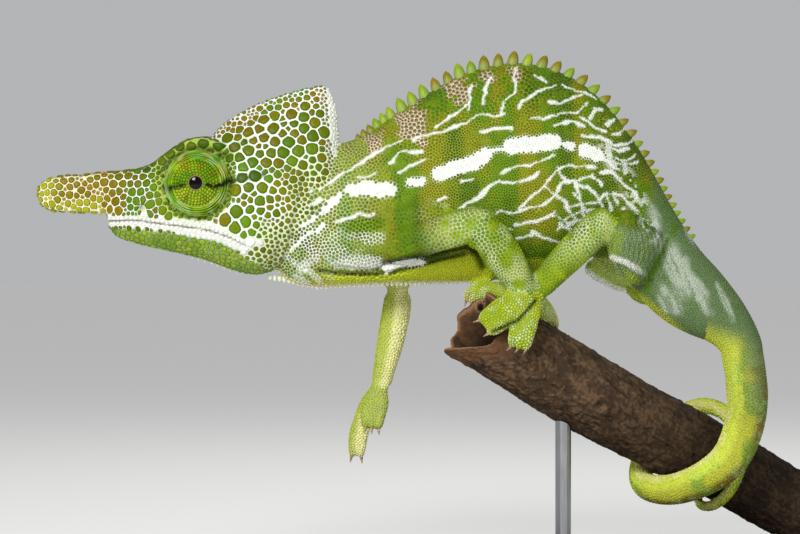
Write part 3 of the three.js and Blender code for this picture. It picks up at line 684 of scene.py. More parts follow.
ARM_CREASE = (0.8, 0.5, [(-3.5, 0.6), (0.9, 1.0), (6.1, 2.0), (11, 3.5), (16.5, 4.9)])
FLAPS = [  # half width and line of each white fold under the thigh
    (0.35, [(52, 2.4), (55, 1.2), (58.5, -0.8), (61.5, -2.6)]),
    (0.3, [(61.0, -4.4), (62.2, -6.4), (63.4, -8.2)]),
]


def line_distance(points, line):
    """Distance in side view from a line of short straight lengths: the least over its lengths of the
    distance to the nearest point of that length."""
    flat = points[:, [0, 2]]
    best = np.full(len(flat), 1e9)
    for start, end in zip(np.array(line[:-1], float), np.array(line[1:], float)):
        step = end - start
        share = np.clip((flat - start) @ step / (step @ step), 0, 1)[:, None]
        best = np.minimum(best, np.linalg.norm(flat - start - share * step, axis=1))
    return best


def bell(distance, width):
    """The bell curve: e to the minus square of distance over width."""
    return np.exp(-((distance / width) ** 2))


def near_line(points, line, width):
    """The bell curve of the distance from a line."""
    return bell(line_distance(points, line), width)


def reach_from(points, place):
    """Distance in side view from a place (x, z)."""
    return np.hypot(points[:, 0] - place[0], points[:, 2] - place[1])


def eye_reach(points):
    """Distance from the eyes' common axis."""
    return reach_from(points, EYE_AT[[0, 2]])


print("folds", len(CREASES) + 2, "from", min(c[0] for c in CREASES), "to", HAND_CREASE[0], "mm deep")

# %% Relief of the skin
def fold_phase(points):
    """Counts the fine upright folds of the thigh: one every 1.3 mm along x, leaning with z and wavering
    slowly."""
    waver = np.sin(points[:, 2] * 0.7 + 0.5) + 0.6 * np.sin(points[:, 2] * 1.6 + points[:, 0] * 0.5)
    return (points[:, 0] + 0.25 * points[:, 2] + 0.35 * waver) / 1.3


def relief(points, part):
    """How far the skin rises, in millimetres, at each point."""
    y = points[:, 1]
    beside = np.abs(y)
    reach, nostril, lip = eye_reach(points), reach_from(points, NOSTRIL), line_distance(points, MOUTH)
    head = -1.1 * bell(reach - 8.55, 0.5) * (beside > 4)
    head += 0.75 * near_line(points, BROW, 0.8) * (beside > 3.4) * (reach > 8.8)
    head += 0.5 * near_line(points, TEMPLE_RIDGE, 0.9) * (beside > 3)
    head -= 0.28 * bell(lip, 0.4)
    head += 0.3 * bell(lip - 1.15, 0.7)
    head += (0.35 * bell(nostril - 1.1, 0.5) - 0.7 * bell(nostril, 0.6)) * (beside > 2)
    head -= 0.55 * near_line(points, BROW_GROOVE, 0.45) * (beside > 4)
    rise = head * np.isin(part, SKULL)
    for depth, half, line in CREASES:
        rise -= depth * near_line(points, line, half) * (part == "trunk")
    near = np.isin(part, ["hand_left_outer", "foot_left_outer", "hand_left_outer_toe", "foot_left_outer_toe"])
    near |= (part == "upper_arm_left") | ((part == "trunk") & (y < 0))
    for depth, half, line in [HAND_CREASE, ARM_CREASE]:
        rise -= depth * near_line(points, line, half) * near
    rise -= 1.1 * near_line(points, ARMPIT, 1.0) * ((part == "trunk") & (y < -3))
    for _, line in FLAPS:
        rise += 0.45 * near_line(points, line, 0.7) * (part == "thigh_left")
    return rise + 0.16 * np.sin(TURN * fold_phase(points)) * np.isin(part, THIGHS)


lift = relief(skin_points, skin_part)
skin_points = skin_points + skin_normals * lift[:, None]
skin_normals = write_skin(skin_points)
print("relief from", round(lift.min(), 2), "to", round(lift.max(), 2), "mm")

# %% [markdown]
# ## The markings
# The coat is green with olive bands, white dashes in a row along the flank, and thin white lines that break
# and branch like cracks. The same function gives the colour of the skin and of every scale, so they always
# agree. A value noise, random numbers on a lattice blended smoothly, makes the bands and edges irregular.

# %% Noise for colours
LATTICE = np.random.default_rng(3).random((32, 32, 32))


def mottle(points, size, shift=0.0):
    """Smooth random values from 0 to 1: lattice values every size millimetres, blended with 3s^2 - 2s^3."""
    p = np.asarray(points) / size + shift
    cell = np.floor(p).astype(int)
    f = p - cell
    f = f * f * (3 - 2 * f)
    value = np.zeros(len(p))
    for corner in np.ndindex(2, 2, 2):
        weight = np.prod(np.where(corner, f, 1 - f), axis=1)
        i, j, k = ((cell + corner) % 32).T
        value += weight * LATTICE[i, j, k]
    return value


def clouds(points, size, shift, low, high):
    """Irregular patches: the noise of that size and shift, stepped from 0 at low to 1 at high."""
    return soft_step(mottle(points, size, shift), low, high)


print("noise from", round(LATTICE.min(), 3), "to", round(LATTICE.max(), 3))

# %% Colours of the live animal
def paint(red, green, blue):
    """A screen colour from 0 to 255, turned into the linear light values that a renderer mixes."""
    c = np.array([red, green, blue]) / 255
    return np.where(c <= 0.04045, c / 12.92, ((c + 0.055) / 1.055) ** 2.4)


GREEN = paint(70, 110, 2)
DEEP = paint(40, 72, 4)
OLIVE = paint(112, 106, 2)
OCHRE = paint(146, 106, 8)
UMBER = paint(104, 76, 10)
LEAF = paint(122, 154, 8)
LIME = paint(184, 206, 70)
YELLOW = paint(188, 194, 32)
CREAM = paint(226, 216, 158)
WHITE = paint(230, 233, 224)
PINK = paint(222, 204, 188)
GREY = paint(140, 158, 128)
MOSS = paint(76, 104, 40)
BROWN = paint(92, 64, 40)
DARK = paint(16, 22, 6)


def mixed(first, second, share):
    """first where share is 0, second where it is 1."""
    share = np.clip(np.asarray(share, float), 0, 1)[..., None]
    return first * (1 - share) + second * share


# %% Lines and dashes of white, in side view: (x, z)
DASHES = [  # half width and its line
    (1.7, [(-11.8, 19.2), (-2.6, 19.2)]),
    (1.0, [(2.6, 20.8), (5.2, 21.1)]),
    (1.6, [(9.4, 22.9), (13.5, 24.3), (18.4, 25.8), (21.0, 27.6)]),
    (0.5, [(22.6, 28.5), (24.6, 28.9)]),
    (1.8, [(27.2, 29.8), (32.0, 30.2), (37.8, 30.7)]),
    (0.9, [(41.2, 30.1), (42.2, 29.6)]),
    (1.5, [(45.4, 28.9), (47.7, 28.0), (48.8, 27.4)]),
    (0.8, [(-14.6, 17.9), (-16.7, 15.6), (-18.8, 13.8)]),
    (0.5, [(-18.8, 13.8), (-21.9, 11.7), (-24.8, 10.0)]),
    (0.4, [(-18.8, 10.1), (-21.2, 8.7), (-24.1, 7.0), (-27.0, 4.2)]),
    (0.7, [(-3.4, -0.6), (-0.9, 0.6), (5.4, 1.3)]),
]
LINES = [
    [(-19.7, 19.4), (-12.8, 23.8), (-8.4, 27), (-3.2, 29.5), (0.7, 31.2)],
    [(3.9, 31), (10.8, 33.2), (15.2, 35.9), (19.9, 37.1), (25.6, 37.9)],
    [(24.8, 38.3), (25.6, 41.1), (28.3, 43.5), (29.5, 49.7)],
    [(29.5, 38.8), (30.2, 40.8), (33.4, 42.8), (38.3, 45)],
    [(32.2, 36.6), (37.9, 37.4), (40.1, 38.3), (43.5, 37.9), (46, 40.1)],
    [(12.5, 12.3), (16.5, 15.5), (19.9, 17.5), (24.3, 20.2), (28.8, 20.9), (33.9, 23.1)],
    [(28.8, 14.5), (35.2, 19.7), (39.1, 24.1), (41.3, 25.1), (44, 25.1), (47.9, 24.1)],
    [(20.9, 11.3), (25.6, 13.3), (30, 14), (35.6, 15.2), (38.3, 17.5), (40.1, 20.2), (43, 21.4),
     (45.7, 19.7)],
    [(-16.3, 10.9), (-14.2, 12.2), (-11.1, 13.5), (-8.3, 13.1), (-5.4, 13.1)],
    [(35.6, 19.4), (37.6, 17.5), (40.8, 15.7), (41.8, 13.3), (44.2, 10.6)],
    [(41.8, 14.5), (45.7, 15.5), (49.4, 17.5), (52.1, 17.9), (54.6, 17.5), (56.5, 15.2), (59, 13.5)],
    [(24.8, 22.6), (30, 25.3), (34.4, 25.6), (37.4, 27.3)], [(8.6, 34.4), (12, 37.1), (17, 40.1)],
    [(40.1, 45.5), (43.4, 43.9), (46, 43.3), (48.3, 41.1)], [(44, 36.6), (47, 35.4), (50.9, 33.9)],
    [(43.4, 21.5), (44.3, 16.4), (46, 11.3), (48.1, 6.8)], [(36.9, 40.6), (40.6, 41.5), (44.7, 42.5)],
    [(-2.2, 25.8), (0.7, 27.8), (5.7, 28.5)], [(28.3, 10.3), (33.4, 11.1), (37.9, 13.3)],
    [(45.7, 19.7), (47.7, 17.5), (49.4, 15)], [(38.3, 24.1), (39.8, 22.1), (41.8, 20.4)],
    [(42.8, 17.9), (45, 15.2), (46.7, 12.5)], [(50.4, 17.2), (51.4, 15.2), (52.1, 13.8)],
    [(44.2, 21.9), (46.7, 22.1), (49.2, 19.9)], [(49.2, 22.9), (51.6, 23.1), (53.6, 21.4)],
    [(48.2, 27.3), (50.6, 25.6), (53.1, 23.4)], [(31.5, 8.6), (35.6, 7.1), (39.3, 5.9)],
    [(37.1, 12.5), (40.6, 11.1), (42.8, 8.8)], [(55.3, 14), (59, 12.5), (61.5, 10.1)],
    [(40.8, 11.1), (43.5, 12.8), (47.2, 14.5)], [(54.1, 20.9), (57, 18.9), (59, 16.5)],
    [(52.9, 30), (55.2, 30.4), (58.2, 31.4)], [(50.8, 27.5), (54.1, 26.3), (58.6, 27.3)],
    [(46.7, 36.9), (48.3, 38.4), (50.5, 38.7)], [(45.6, 33.2), (49.4, 32.4), (52.4, 30.2)],
    [(38, 34.6), (42.2, 35.2), (45.4, 34.4)], [(-0.6, 24), (3.4, 25.2), (7, 26.4)],
    [(20, 33.4), (24.6, 34.2), (28, 34.4)], [(39.2, 9.2), (46, 11.3), (52.8, 12.6)],
    [(-26, 12.6), (-22.6, 15.4), (-19.4, 17.4)], [(17.5, 38.8), (18.2, 45)], [(20.9, 40.1), (21.9, 47.4)],
    [(-10.3, 22.6), (-6.1, 23.4)], [(23.8, 8.6), (27.5, 9.3)], [(25.8, 6.6), (31.5, 7.6)],
    [(3, 11.5), (4.7, 11.2)], [(52.1, 17.5), (53.6, 15.2)], [(53.1, 24.8), (59, 25.6)],
    [(52.1, 28.8), (56.5, 29.5)], [(39.3, 10.3), (43, 8.6)], [(51.6, 35.7), (54.1, 36.9)],
    [(52.4, 33.1), (56.9, 34.1)], [(34.2, 46.8), (36.2, 45.4)], [(15.8, 20.8), (18.6, 21.6)],
    [(9.4, 17), (11, 17.2)], [(40.9, 4.9), (46, 6.6)], [(-24.4, 16.8), (-21.4, 19.2)],
]


def dash_share(points, halo=0.0):
    """How far each point lies in a broad dash: 1 within its half width, which wavers by noise, and 0 past it.
    The halo widens the dashes, where only the net between the scales is white."""
    wander = 0.7 * (mottle(points, 1.5) - 0.5)
    share = np.zeros(len(points))
    for half, line in DASHES:
        away = line_distance(points, line) + wander - halo
        share = np.maximum(share, 1 - soft_step(away, half - 0.2, half + 0.2))
    return share


def line_share(points):
    """How far each point lies in a thin line. Two noises push the points about first, so that the lines
    waver, and a third makes their half width swell and shrink."""
    bent = points.copy()
    for size, reach in [(4.0, 1.9), (1.1, 0.7)]:
        for way, shift in [(0, 31.0), (2, 47.0)]:
            bent[:, way] += reach * (mottle(points, size, shift) - 0.5)
    thin = 0.11 + 0.44 * mottle(points, 2.2, 5.3) ** 1.4
    share = np.zeros(len(points))
    for line in LINES:
        share = np.maximum(share, 1 - soft_step(line_distance(bent, line), thin - 0.08, thin + 0.16))
    return 0.95 * share


print("white dashes", len(DASHES), "white lines", len(LINES))

# %% [markdown]
# Each part of the body has its own ground colour, and every part gives two colours: one for the scales and
# one for the net of skin between them, white on the head and yellow-green on the flank.

# %% Tail colours
def tail_colours(points, around):
    """By the turn round the tail: a pale inner edge, a yellow stripe, a green one, then grey-olive
    outside."""
    x, _, z = points.T
    side = np.cos(TURN * around) + 0.25 * (mottle(points, 2.5, 7.1) - 0.5)
    bands = clouds(points, 4.4, 6.1, 0.42, 0.58)
    outer = mixed(mixed(OLIVE, UMBER, 0.3), mixed(GREEN, LEAF, 0.4), 0.7 * bands)
    outer = mixed(outer, mixed(GREY, LIME, 0.4), 0.5 * clouds(points, 1.3, 19.0, 0.55, 0.75))
    middle = mixed(mixed(YELLOW, OLIVE, 0.35), mixed(GREEN, LEAF, 0.85), 0.85 * bands)
    scale = mixed(middle, outer, soft_step(side, 0.1, 0.6))
    scale = mixed(mixed(YELLOW, LIME, 0.35 + 0.3 * bands), scale, soft_step(side, -0.6, -0.2))
    inner = mixed(mixed(YELLOW, LIME, 0.3), CREAM, 0.5 * soft_step(-z, 26, 36))
    scale = mixed(inner, scale, soft_step(side, -1.0, -0.8))
    upper = (1 - soft_step(-z, 24, 42)) * soft_step(side, -0.4, 0.4) * (x > 76)
    scale = mixed(scale, mixed(mixed(MOSS, OLIVE, 0.45), GREY, 0.08 + 0.25 * bands), 0.7 * upper)
    # painted light: the tail's lower loop, which lies in shade, is made up to 1.25 times lighter
    scale = scale * (1 + 0.25 * soft_step(-z, 34, 44))[:, None]
    return scale, mixed(scale, WHITE, 0.12)


# %% Places of the trunk's markings, in side view
# Each blot below is x, z and its radius.
PATCHES = [(-6.5, 31.0, 2.6), (3.4, 35.8, 4.2), (14.2, 44.0, 3.2), (22.3, 47.5, 2.0), (29, 48.6, 1.8)]
RUMP_BLOTS = [  # [x, z, half width, half height]
    (62.0, 13.2, 2.6, 4.4), (68.8, -0.6, 4.0, 9.4), (66.4, -8.2, 2.8, 5.0),
    (74.4, -6.6, 1.9, 6.2), (80.6, -8.6, 1.1, 6.0), (72.0, 7.4, 1.2, 3.2),
]
MARBLED = [(51, 29), (54.5, 24), (57.5, 19), (60, 13.5), (62, 8)]
HIP_CREASE = [(68.4, 10), (66, 6), (63.6, 1.6), (61.6, -2.4), (61, -6)]
RUMP_LEAN = 0.42  # how far the rump's folds lean: x for each z


def blot(points, x, z, wide, tall):
    """1 in an upright oval of that half width and half height, wavering by noise, and 0 outside it."""
    away = np.hypot((points[:, 0] - x) / wide, (points[:, 2] - z) / tall)
    return 1 - soft_step(away + 0.5 * (mottle(points, 1.4, x) - 0.5), 0.8, 1.1)


print("pink patches", len(PATCHES), "rump blots", len(RUMP_BLOTS))

# %% Trunk colours
def trunk_colours(points, fleck):
    """Green with olive in upright bands; a paler net on neck and shoulder; pink patches under the crest; a
    gold belly with a cream keel; then the rump, painted shade in the creases and under the near arm, and the
    white dashes over it."""
    x, y, z = points.T
    bands = mottle(points * [1, 0.3, 0.22], 3.4) + 0.35 * (mottle(points, 7.0, 2.2) - 0.5)
    olive = soft_step(bands + 0.4 * (fleck - 0.5), 0.4, 0.6)
    scale = mixed(GREEN, OLIVE, olive)
    scale = mixed(scale, DEEP, 0.75 * clouds(points * [1, 0.3, 0.3], 4.6, 9.1, 0.5, 0.72))
    net = mixed(scale, LIME, 0.26 + 0.13 * olive)
    scale = mixed(scale, LEAF, 0.3 * clouds(points, 2.0, 6.6, 0.55, 0.8))

    front = 1 - soft_step(x, -15, 0)
    scale = mixed(scale, LEAF, 0.5 * soft_step(-x, -6, 2) * clouds(points, 3.0, 22.2, 0.35, 0.6))
    scale = mixed(scale, mixed(OLIVE, DEEP, 0.45), 0.4 * front * clouds(points, 2.4, 3.1, 0.35, 0.6))
    net = mixed(net, mixed(LIME, WHITE, 0.5), 0.4 * front + 0.25 * soft_step(-x, 12, 20))
    pale = 0.75 * clouds(points, 2.2, 4.4, 0.35, 0.65) * blot(points, -14.5, 5, 5.5, 5.2)
    pale = np.maximum(pale, 0.8 * blot(points, -7, 7.2, 3.5, 1.8))
    streaks = clouds(np.stack([(x - z) * 0.35, y * 0.2, x + z], -1), 1.7, 2.9, 0.5, 0.66)
    pale = np.maximum(pale, 0.9 * streaks * soft_step(-x, 15, 19) * (1 - soft_step(z, 14, 26)))
    pale = np.maximum(pale, blot(points, -9.5, 1.2, 7, 1.9) * (np.abs(y) > 3))
    net = mixed(net, WHITE, pale)
    scale = mixed(scale, WHITE, 0.45 * pale * soft_step(-z, -4, 0))
    shoulder = blot(points, -9.0, 10.2, 5.5, 2.0)
    scale = mixed(scale, mixed(GREEN, DEEP, 0.4), 0.8 * shoulder)
    net = mixed(net, LEAF, 0.8 * shoulder)
    for centre_x, centre_z, radius in PATCHES:
        away = np.hypot(x - centre_x, z - centre_z) / radius + 1.5 * (mottle(points, 2.4, centre_x) - 0.5)
        patch = 1 - soft_step(away, 0.85, 1.15)
        scale, net = mixed(scale, UMBER, 0.6 * patch), mixed(net, PINK, patch)

    chest_fold = np.interp(x, [-20.2, -11, -0.9, 4.4, 16, 24], [-0.9, -1.8, -1.2, 0.3, 3.2, 2.0])
    belly = (1 - soft_step(z - chest_fold, -0.5, 0.7)) * (x < 56) * soft_step(x, -24, -14)
    gold = mixed(YELLOW, LIME, 0.25) * 1.1
    scale, net = mixed(scale, gold, 0.72 * belly), mixed(net, gold, 0.8 * belly)
    keel = (1 - soft_step(np.abs(y), 1.2, 2.4)) * (z < 3) * (x < 24)
    scale, net = mixed(scale, CREAM, 0.8 * keel), mixed(net, CREAM, 0.8 * keel)
    scale, net = rump_colours(points, fleck, scale, net)

    # painted shade: each crease is darkened, the deep ones most
    for depth, half, line in CREASES:
        fold = np.interp(depth, [0, 0.6, 0.9], [0, 0.36, 0.92]) * near_line(points, line, half)
        scale, net = mixed(scale, DARK, fold), mixed(net, DARK, fold)
    # painted shade: a dark band under the near arm, where the arm shades the flank
    armpit_shade = np.maximum(0.85 * near_line(points, ARMPIT, 0.95),
                     0.7 * near_line(points, ARM_CREASE[2], 0.5)) * (y < -3)
    scale, net = mixed(scale, DARK, armpit_shade), mixed(net, DARK, armpit_shade)
    return mixed(scale, WHITE, np.round(dash_share(points))), mixed(net, WHITE, dash_share(points, 0.35))


# %% Rump colours
def rump_colours(points, fleck, scale, net):
    """Over the trunk's colours: grey behind the hips, with pale ribbed blots, white marbling and a yellow
    vent, and towards the tail the tail's own colours."""
    x, y, z = points.T
    haunch = soft_step(x - 0.25 * z, 56, 61)
    grey = mixed(mixed(MOSS, GREY, 0.2), GREEN, 0.4 * clouds(points, 5.5, 8.8, 0.5, 0.68))
    scale, net = mixed(scale, grey, haunch), mixed(net, mixed(MOSS, GREY, 0.45), haunch)
    ribs = clouds(np.stack([x + RUMP_LEAN * z, 0.35 * y, 0.16 * z], -1), 0.8, 4.9, 0.35, 0.6)
    ribs = (0.4 + 0.6 * ribs) * soft_step(x - 0.25 * z, 56, 60)
    for blot_x, blot_z, wide, tall in RUMP_BLOTS:
        away = np.hypot((x - blot_x + RUMP_LEAN * (z - blot_z)) / wide, (z - blot_z) / tall)
        ribbed = (1 - soft_step(away + 0.6 * (mottle(points, 1.8, blot_x) - 0.5), 0.5, 1.15)) * ribs
        net = mixed(net, mixed(GREY, WHITE, 0.45), 0.85 * ribbed)
        scale = mixed(scale, mixed(GREY, WHITE, 0.3), 0.8 * ribbed)
    marble = 1 - soft_step(line_distance(points, MARBLED), 1.0, 3.4)
    marble *= soft_step(mottle(points, 1.3, 13.3) + 0.25 * (fleck - 0.5), 0.5, 0.6)
    scale, net = mixed(scale, mixed(GREY, WHITE, 0.7), 0.8 * marble), mixed(net, WHITE, 0.8 * marble)
    crease = near_line(points, HIP_CREASE, 1.1) * (x > 59)
    scale, net = mixed(scale, GREEN, 0.8 * crease), mixed(net, mixed(GREEN, LEAF, 0.5), 0.8 * crease)
    vent = soft_step(-(z + 0.85 * (x - 63)), 8.0, 10.5) * soft_step(x, 57, 60) * (x < 80)
    scale, net = mixed(scale, YELLOW, 0.8 * vent), mixed(net, YELLOW, 0.7 * vent)
    root_scale, root_net = tail_colours(points, np.arccos(np.clip((x - 86) / 5.6, -1, 1)) / TURN)
    root = soft_step(-z - 0.35 * (x - 86), 15.5, 22) * (x > 76)
    return mixed(scale, root_scale, root), mixed(net, root_net, root)


# %% Head colours
CASQUE_TOP = [[-48.4, -43.4, -38.6, -33, -27, -22, -18.3], [31, 36.6, 39.6, 42, 44, 45.2, 45.3]]
CROWN_EDGE = [(-46, 27.5), (-42, 28.6), (-38.5, 31.4)]


def head_colours(points, part, fleck):
    """Olive and green tiles in a white net; ochre on blade and casque; white lips; a green-yellow jaw."""
    x, y, z = points.T
    beside = np.abs(y)
    reach = eye_reach(points)
    brown = soft_step(mottle(points, 7.0, 3.3) + 0.5 * (fleck - 0.5), 0.3, 0.65)
    scale = mixed(GREEN, OLIVE, 0.25 + 0.75 * brown)
    ochre = (part == "casque") * (1 - soft_step(np.interp(x, *CASQUE_TOP) - z, 1.5, 7.5))
    ochre = ochre * (0.4 + 0.6 * fleck)
    ochre = np.maximum(ochre, soft_step(-x, 64, 76) * (z > 11) * (0.65 + 0.35 * fleck))
    scale = mixed(scale, mixed(OCHRE, OLIVE, 0.55 * (1 - fleck)), ochre)
    lively = 0.6 * clouds(points, 5.0, 11.3, 0.56, 0.7) * (part != "blade")
    scale = mixed(scale, paint(76, 134, 6), lively)
    scale = scale * (1 + 0.2 * soft_step(x, -46, -40) * (1 - soft_step(z, 20, 28)))[:, None]
    net = mixed(WHITE, CREAM, 0.6 * soft_step(-x, 66, 76) * (z > 12.5))
    edge = (part == "blade") * (1 - soft_step(z - 0.12 * (x + 90), 14.2, 16.4)) * (x < -74)
    edge = np.maximum(edge, soft_step(-x, 84, 88.5))
    scale = mixed(scale, YELLOW, 0.6 * edge)

    round_eye = 1 - soft_step(reach + 3.0 * soft_step(x, -52, -46) * (z < 26), 10.5, 12.5)
    round_eye = np.maximum(round_eye, 1 - soft_step(reach, 9.2, 9.8)) * (beside > 3.5)
    scale = mixed(scale, mixed(GREEN, LEAF, 0.5), 0.7 * round_eye)
    net = mixed(net, mixed(LIME, LEAF, 0.4), 0.9 * round_eye)
    crown = near_line(points, BROW, 1.7) * (beside > 1.5)
    crown = np.maximum(crown, near_line(points, CROWN_EDGE, 1.1) * (beside > 4))
    scale = mixed(scale, mixed(DEEP, OLIVE, 0.35 * fleck), 0.8 * crown)
    net = mixed(net, mixed(LIME, GREEN, 0.35), 0.7 * crown)
    rear = soft_step(x, -33, -25) * (1 - soft_step(z, 22, 32))
    rear = np.maximum(rear, soft_step(x, -40, -33) * (1 - soft_step(z, 8, 14)) * (z > 0))
    net = mixed(net, mixed(LIME, WHITE, 0.35), 0.7 * rear)
    scale = mixed(scale, mixed(DEEP, OLIVE, 0.4), 0.55 * rear * clouds(points, 2.5, 9.9, 0.3, 0.6))
    # painted shade: the neck's creases are darkened behind the head
    for _, half, line in CREASES[:3]:
        fold = 0.4 * near_line(points, line, half) * (x > -34)
        scale, net = mixed(scale, DARK, 0.5 * fold), mixed(net, DARK, fold)
    jaw = soft_step(np.interp(x, [-73, -47, -42, -38, -33], [10.4, 8, 5.6, 2.5, 0]) - z, 0.2, 0.9)
    jaw_tone = clouds(points, 3.0, 14.0, 0.4, 0.6)
    scale = mixed(scale, mixed(mixed(LEAF, LIME, 0.3), paint(84, 140, 10), 0.55 * jaw_tone), 0.9 * jaw)
    net = mixed(net, mixed(MOSS, LIME, 0.25), 0.9 * jaw)
    return face_colours(points, part, scale, net)


# %% Lips, mouth, nostril and grooves
def face_colours(points, part, scale, net):
    """Over the head's colours: white lips and casque edge, painted shade in the grooves round the eye and in
    the nostril's hole, a dark streak behind the eye, and the mouth's brown line."""
    x, y, z = points.T
    beside = np.abs(y)
    mouth = line_distance(points, MOUTH)
    band = np.interp(x, [-74, -66, -52, -44, -38], [1.1, 1.3, 1.7, 2.1, 1.6])
    lip = (1 - soft_step(mouth + 0.5 * (mottle(points, 1.2) - 0.5), band, band + 0.4)) * (beside > 0.6)
    lip = np.maximum(lip, blot(points, -37.5, 6.2, 3.2, 1.6))
    scale, net = mixed(scale, WHITE, np.round(lip)), mixed(net, mixed(WHITE, GREY, 0.25), lip)
    edge = (part == "casque") * soft_step(x + 0.12 * z, -14.2, -12.6)
    scale, net = mixed(scale, WHITE, 0.9 * np.round(edge)), mixed(net, WHITE, edge)
    # painted shade: dark in the groove round the turret and along the brow
    groove = np.maximum(bell(eye_reach(points) - 8.6, 0.35),
                        near_line(points, BROW_GROOVE, 0.5)) * (beside > 4)
    scale, net = mixed(scale, DARK, 0.6 * groove), mixed(net, DARK, 0.85 * groove)
    behind = bell(z - 21.3 - 0.2 * (x + 41.5), 0.62) * (x > -43) * (x < -33) * (beside > 4)
    scale, net = mixed(scale, DARK, 0.62 * behind), mixed(net, DARK, 0.92 * behind)
    line = bell(mouth, 0.28) * (beside > 0.5) * (x < -38)
    scale, net = mixed(scale, BROWN, 0.6 * line), mixed(net, BROWN, 0.9 * line)
    nostril = reach_from(points, NOSTRIL)
    net = mixed(net, mixed(CREAM, LEAF, 0.3), bell(nostril - 1.1, 0.4) * (beside > 2))
    # painted shade: the nostril's hole is darkened
    return scale, mixed(net, BROWN * 0.5, bell(nostril, 0.55) * (beside > 2))


# %% Turret colours
STREAK = [(-57.4, 19.2), (-54, 19.8), (-51.4, 20.5), (-48.4, 20.3), (-45.6, 19.7), (-43.6, 20.2),
          (-41.8, 21.4)]


def turret_colours(points):
    """Green granules with yellow and ochre blots, dark streaks fore and aft of the pupil and two below it;
    the net between the granules is dark as painted shade, darkest among the folds at the turret's foot.
    """
    above = points[:, 2] - EYE_AT[2]
    reach = eye_reach(points)
    turn = np.arctan2(above, points[:, 0] - EYE_AT[0])
    lid = mixed(mixed(LEAF, paint(86, 150, 6), 0.5), YELLOW, 0.4 * clouds(points, 2.2, 2.7, 0.4, 0.7))
    lid = mixed(lid, paint(60, 140, 8), 0.55 * clouds(points, 2.6, 21.7, 0.45, 0.65))
    rays = np.cos(8 * turn + 0.7 + 3.0 * mottle(points, 3.0, 5.1))
    blots = soft_step(rays + mottle(points, 1.4, 3.7), 0.5, 1.0)
    lid = mixed(lid, OCHRE, 0.38 * blots * soft_step(above, 0.5, 2.0) * soft_step(reach, 2.6, 3.6))
    level = line_distance(points, STREAK) / (0.3 + 0.07 * reach)
    streak = bell(level, 1.0) * (0.8 + 0.4 * mottle(points, 1.2))
    for angle, strong in [(-2.15, 0.85), (-1.05, 0.6)]:
        short = soft_step(reach, 3.0, 3.8) * (1 - soft_step(reach, 5.4, 6.4))
        streak = np.maximum(streak, strong * short * bell((turn - angle) * reach, 0.4))
    streak *= soft_step(reach, 2.1, 2.8)
    lid = mixed(lid, DARK, 1.1 * streak)
    lid = mixed(lid, mixed(YELLOW, LIME, 0.3), 0.35 * soft_step(-above, 0.5, 2.5) * (reach < 6))
    # painted shade: the net is darkened between the granules, most among the folds at the turret's foot
    return lid, mixed(lid, DARK, 0.6 + 0.3 * soft_step(reach, 5.6, 6.2))


# %% Limb colours
def limb_colours(points, part, fleck):
    """Green with a pale net in patches; yellower hands and feet; then the far limbs and the thighs over
    it."""
    grip = np.isin(part, GRIPS)
    scale = mixed(mixed(GREEN, LEAF, 0.5 + 0.5 * clouds(points, 3.6, 18.2, 0.35, 0.65)), OLIVE,
                  0.3 * soft_step(fleck, 0.5, 0.85))
    scale = mixed(scale, mixed(YELLOW, LEAF, 0.3), 0.5 * clouds(points, 2.4, 13.9, 0.52, 0.72) * ~grip)
    scale = mixed(scale, DEEP, 0.4 * clouds(points, 3.0, 17.0, 0.5, 0.75) * ~grip)
    scale = mixed(scale, mixed(YELLOW, LIME, 0.25) * 1.12, (0.45 + 0.55 * mottle(points, 2.0, 4.9)) * grip)
    granules = soft_step(mottle(points, 1.5, 6.6) + 0.2 * fleck, 0.62, 0.8)
    scale = mixed(scale, mixed(LIME, WHITE, 0.3), 0.8 * grip * granules)
    upper = np.where(part == "shank_left", soft_step(points[:, 2], -2, 9), 1)
    pale_net = clouds(points, 3.0, 12.4, 0.3, 0.62) * upper
    net = mixed(mixed(LEAF, LIME, 0.45), mixed(LIME, WHITE, 0.53), pale_net)
    net = mixed(net, mixed(LEAF, LIME, 0.3), 0.8 * grip)
    scale, net = far_limb_colours(points, part, scale, net)
    scale, net = thigh_colours(points, part, scale, net)
    warts = (part == "foot_left_outer") * soft_step(-points[:, 2], 15, 18)
    warts = warts + (part == "foot_left_outer_toe") * 0.8
    warts = np.minimum(warts + 0.8 * (part == "foot_left_inner") * soft_step(points[:, 0], 33, 36), 1)
    scale = mixed(scale, mixed(LIME, WHITE, 0.45), 0.75 * warts * clouds(points, 1.1, 8.3, 0.35, 0.6))
    net = mixed(net, MOSS, 0.3 * warts)
    # painted shade: dark in the crease of the near hand and in the crease under the near arm
    for depth, half, line in [HAND_CREASE, ARM_CREASE]:
        fold = 0.85 * min(1, depth) * near_line(points, line, half) * (points[:, 1] < -6)
        scale, net = mixed(scale, DARK, fold), mixed(net, DARK, fold)
    return scale, net


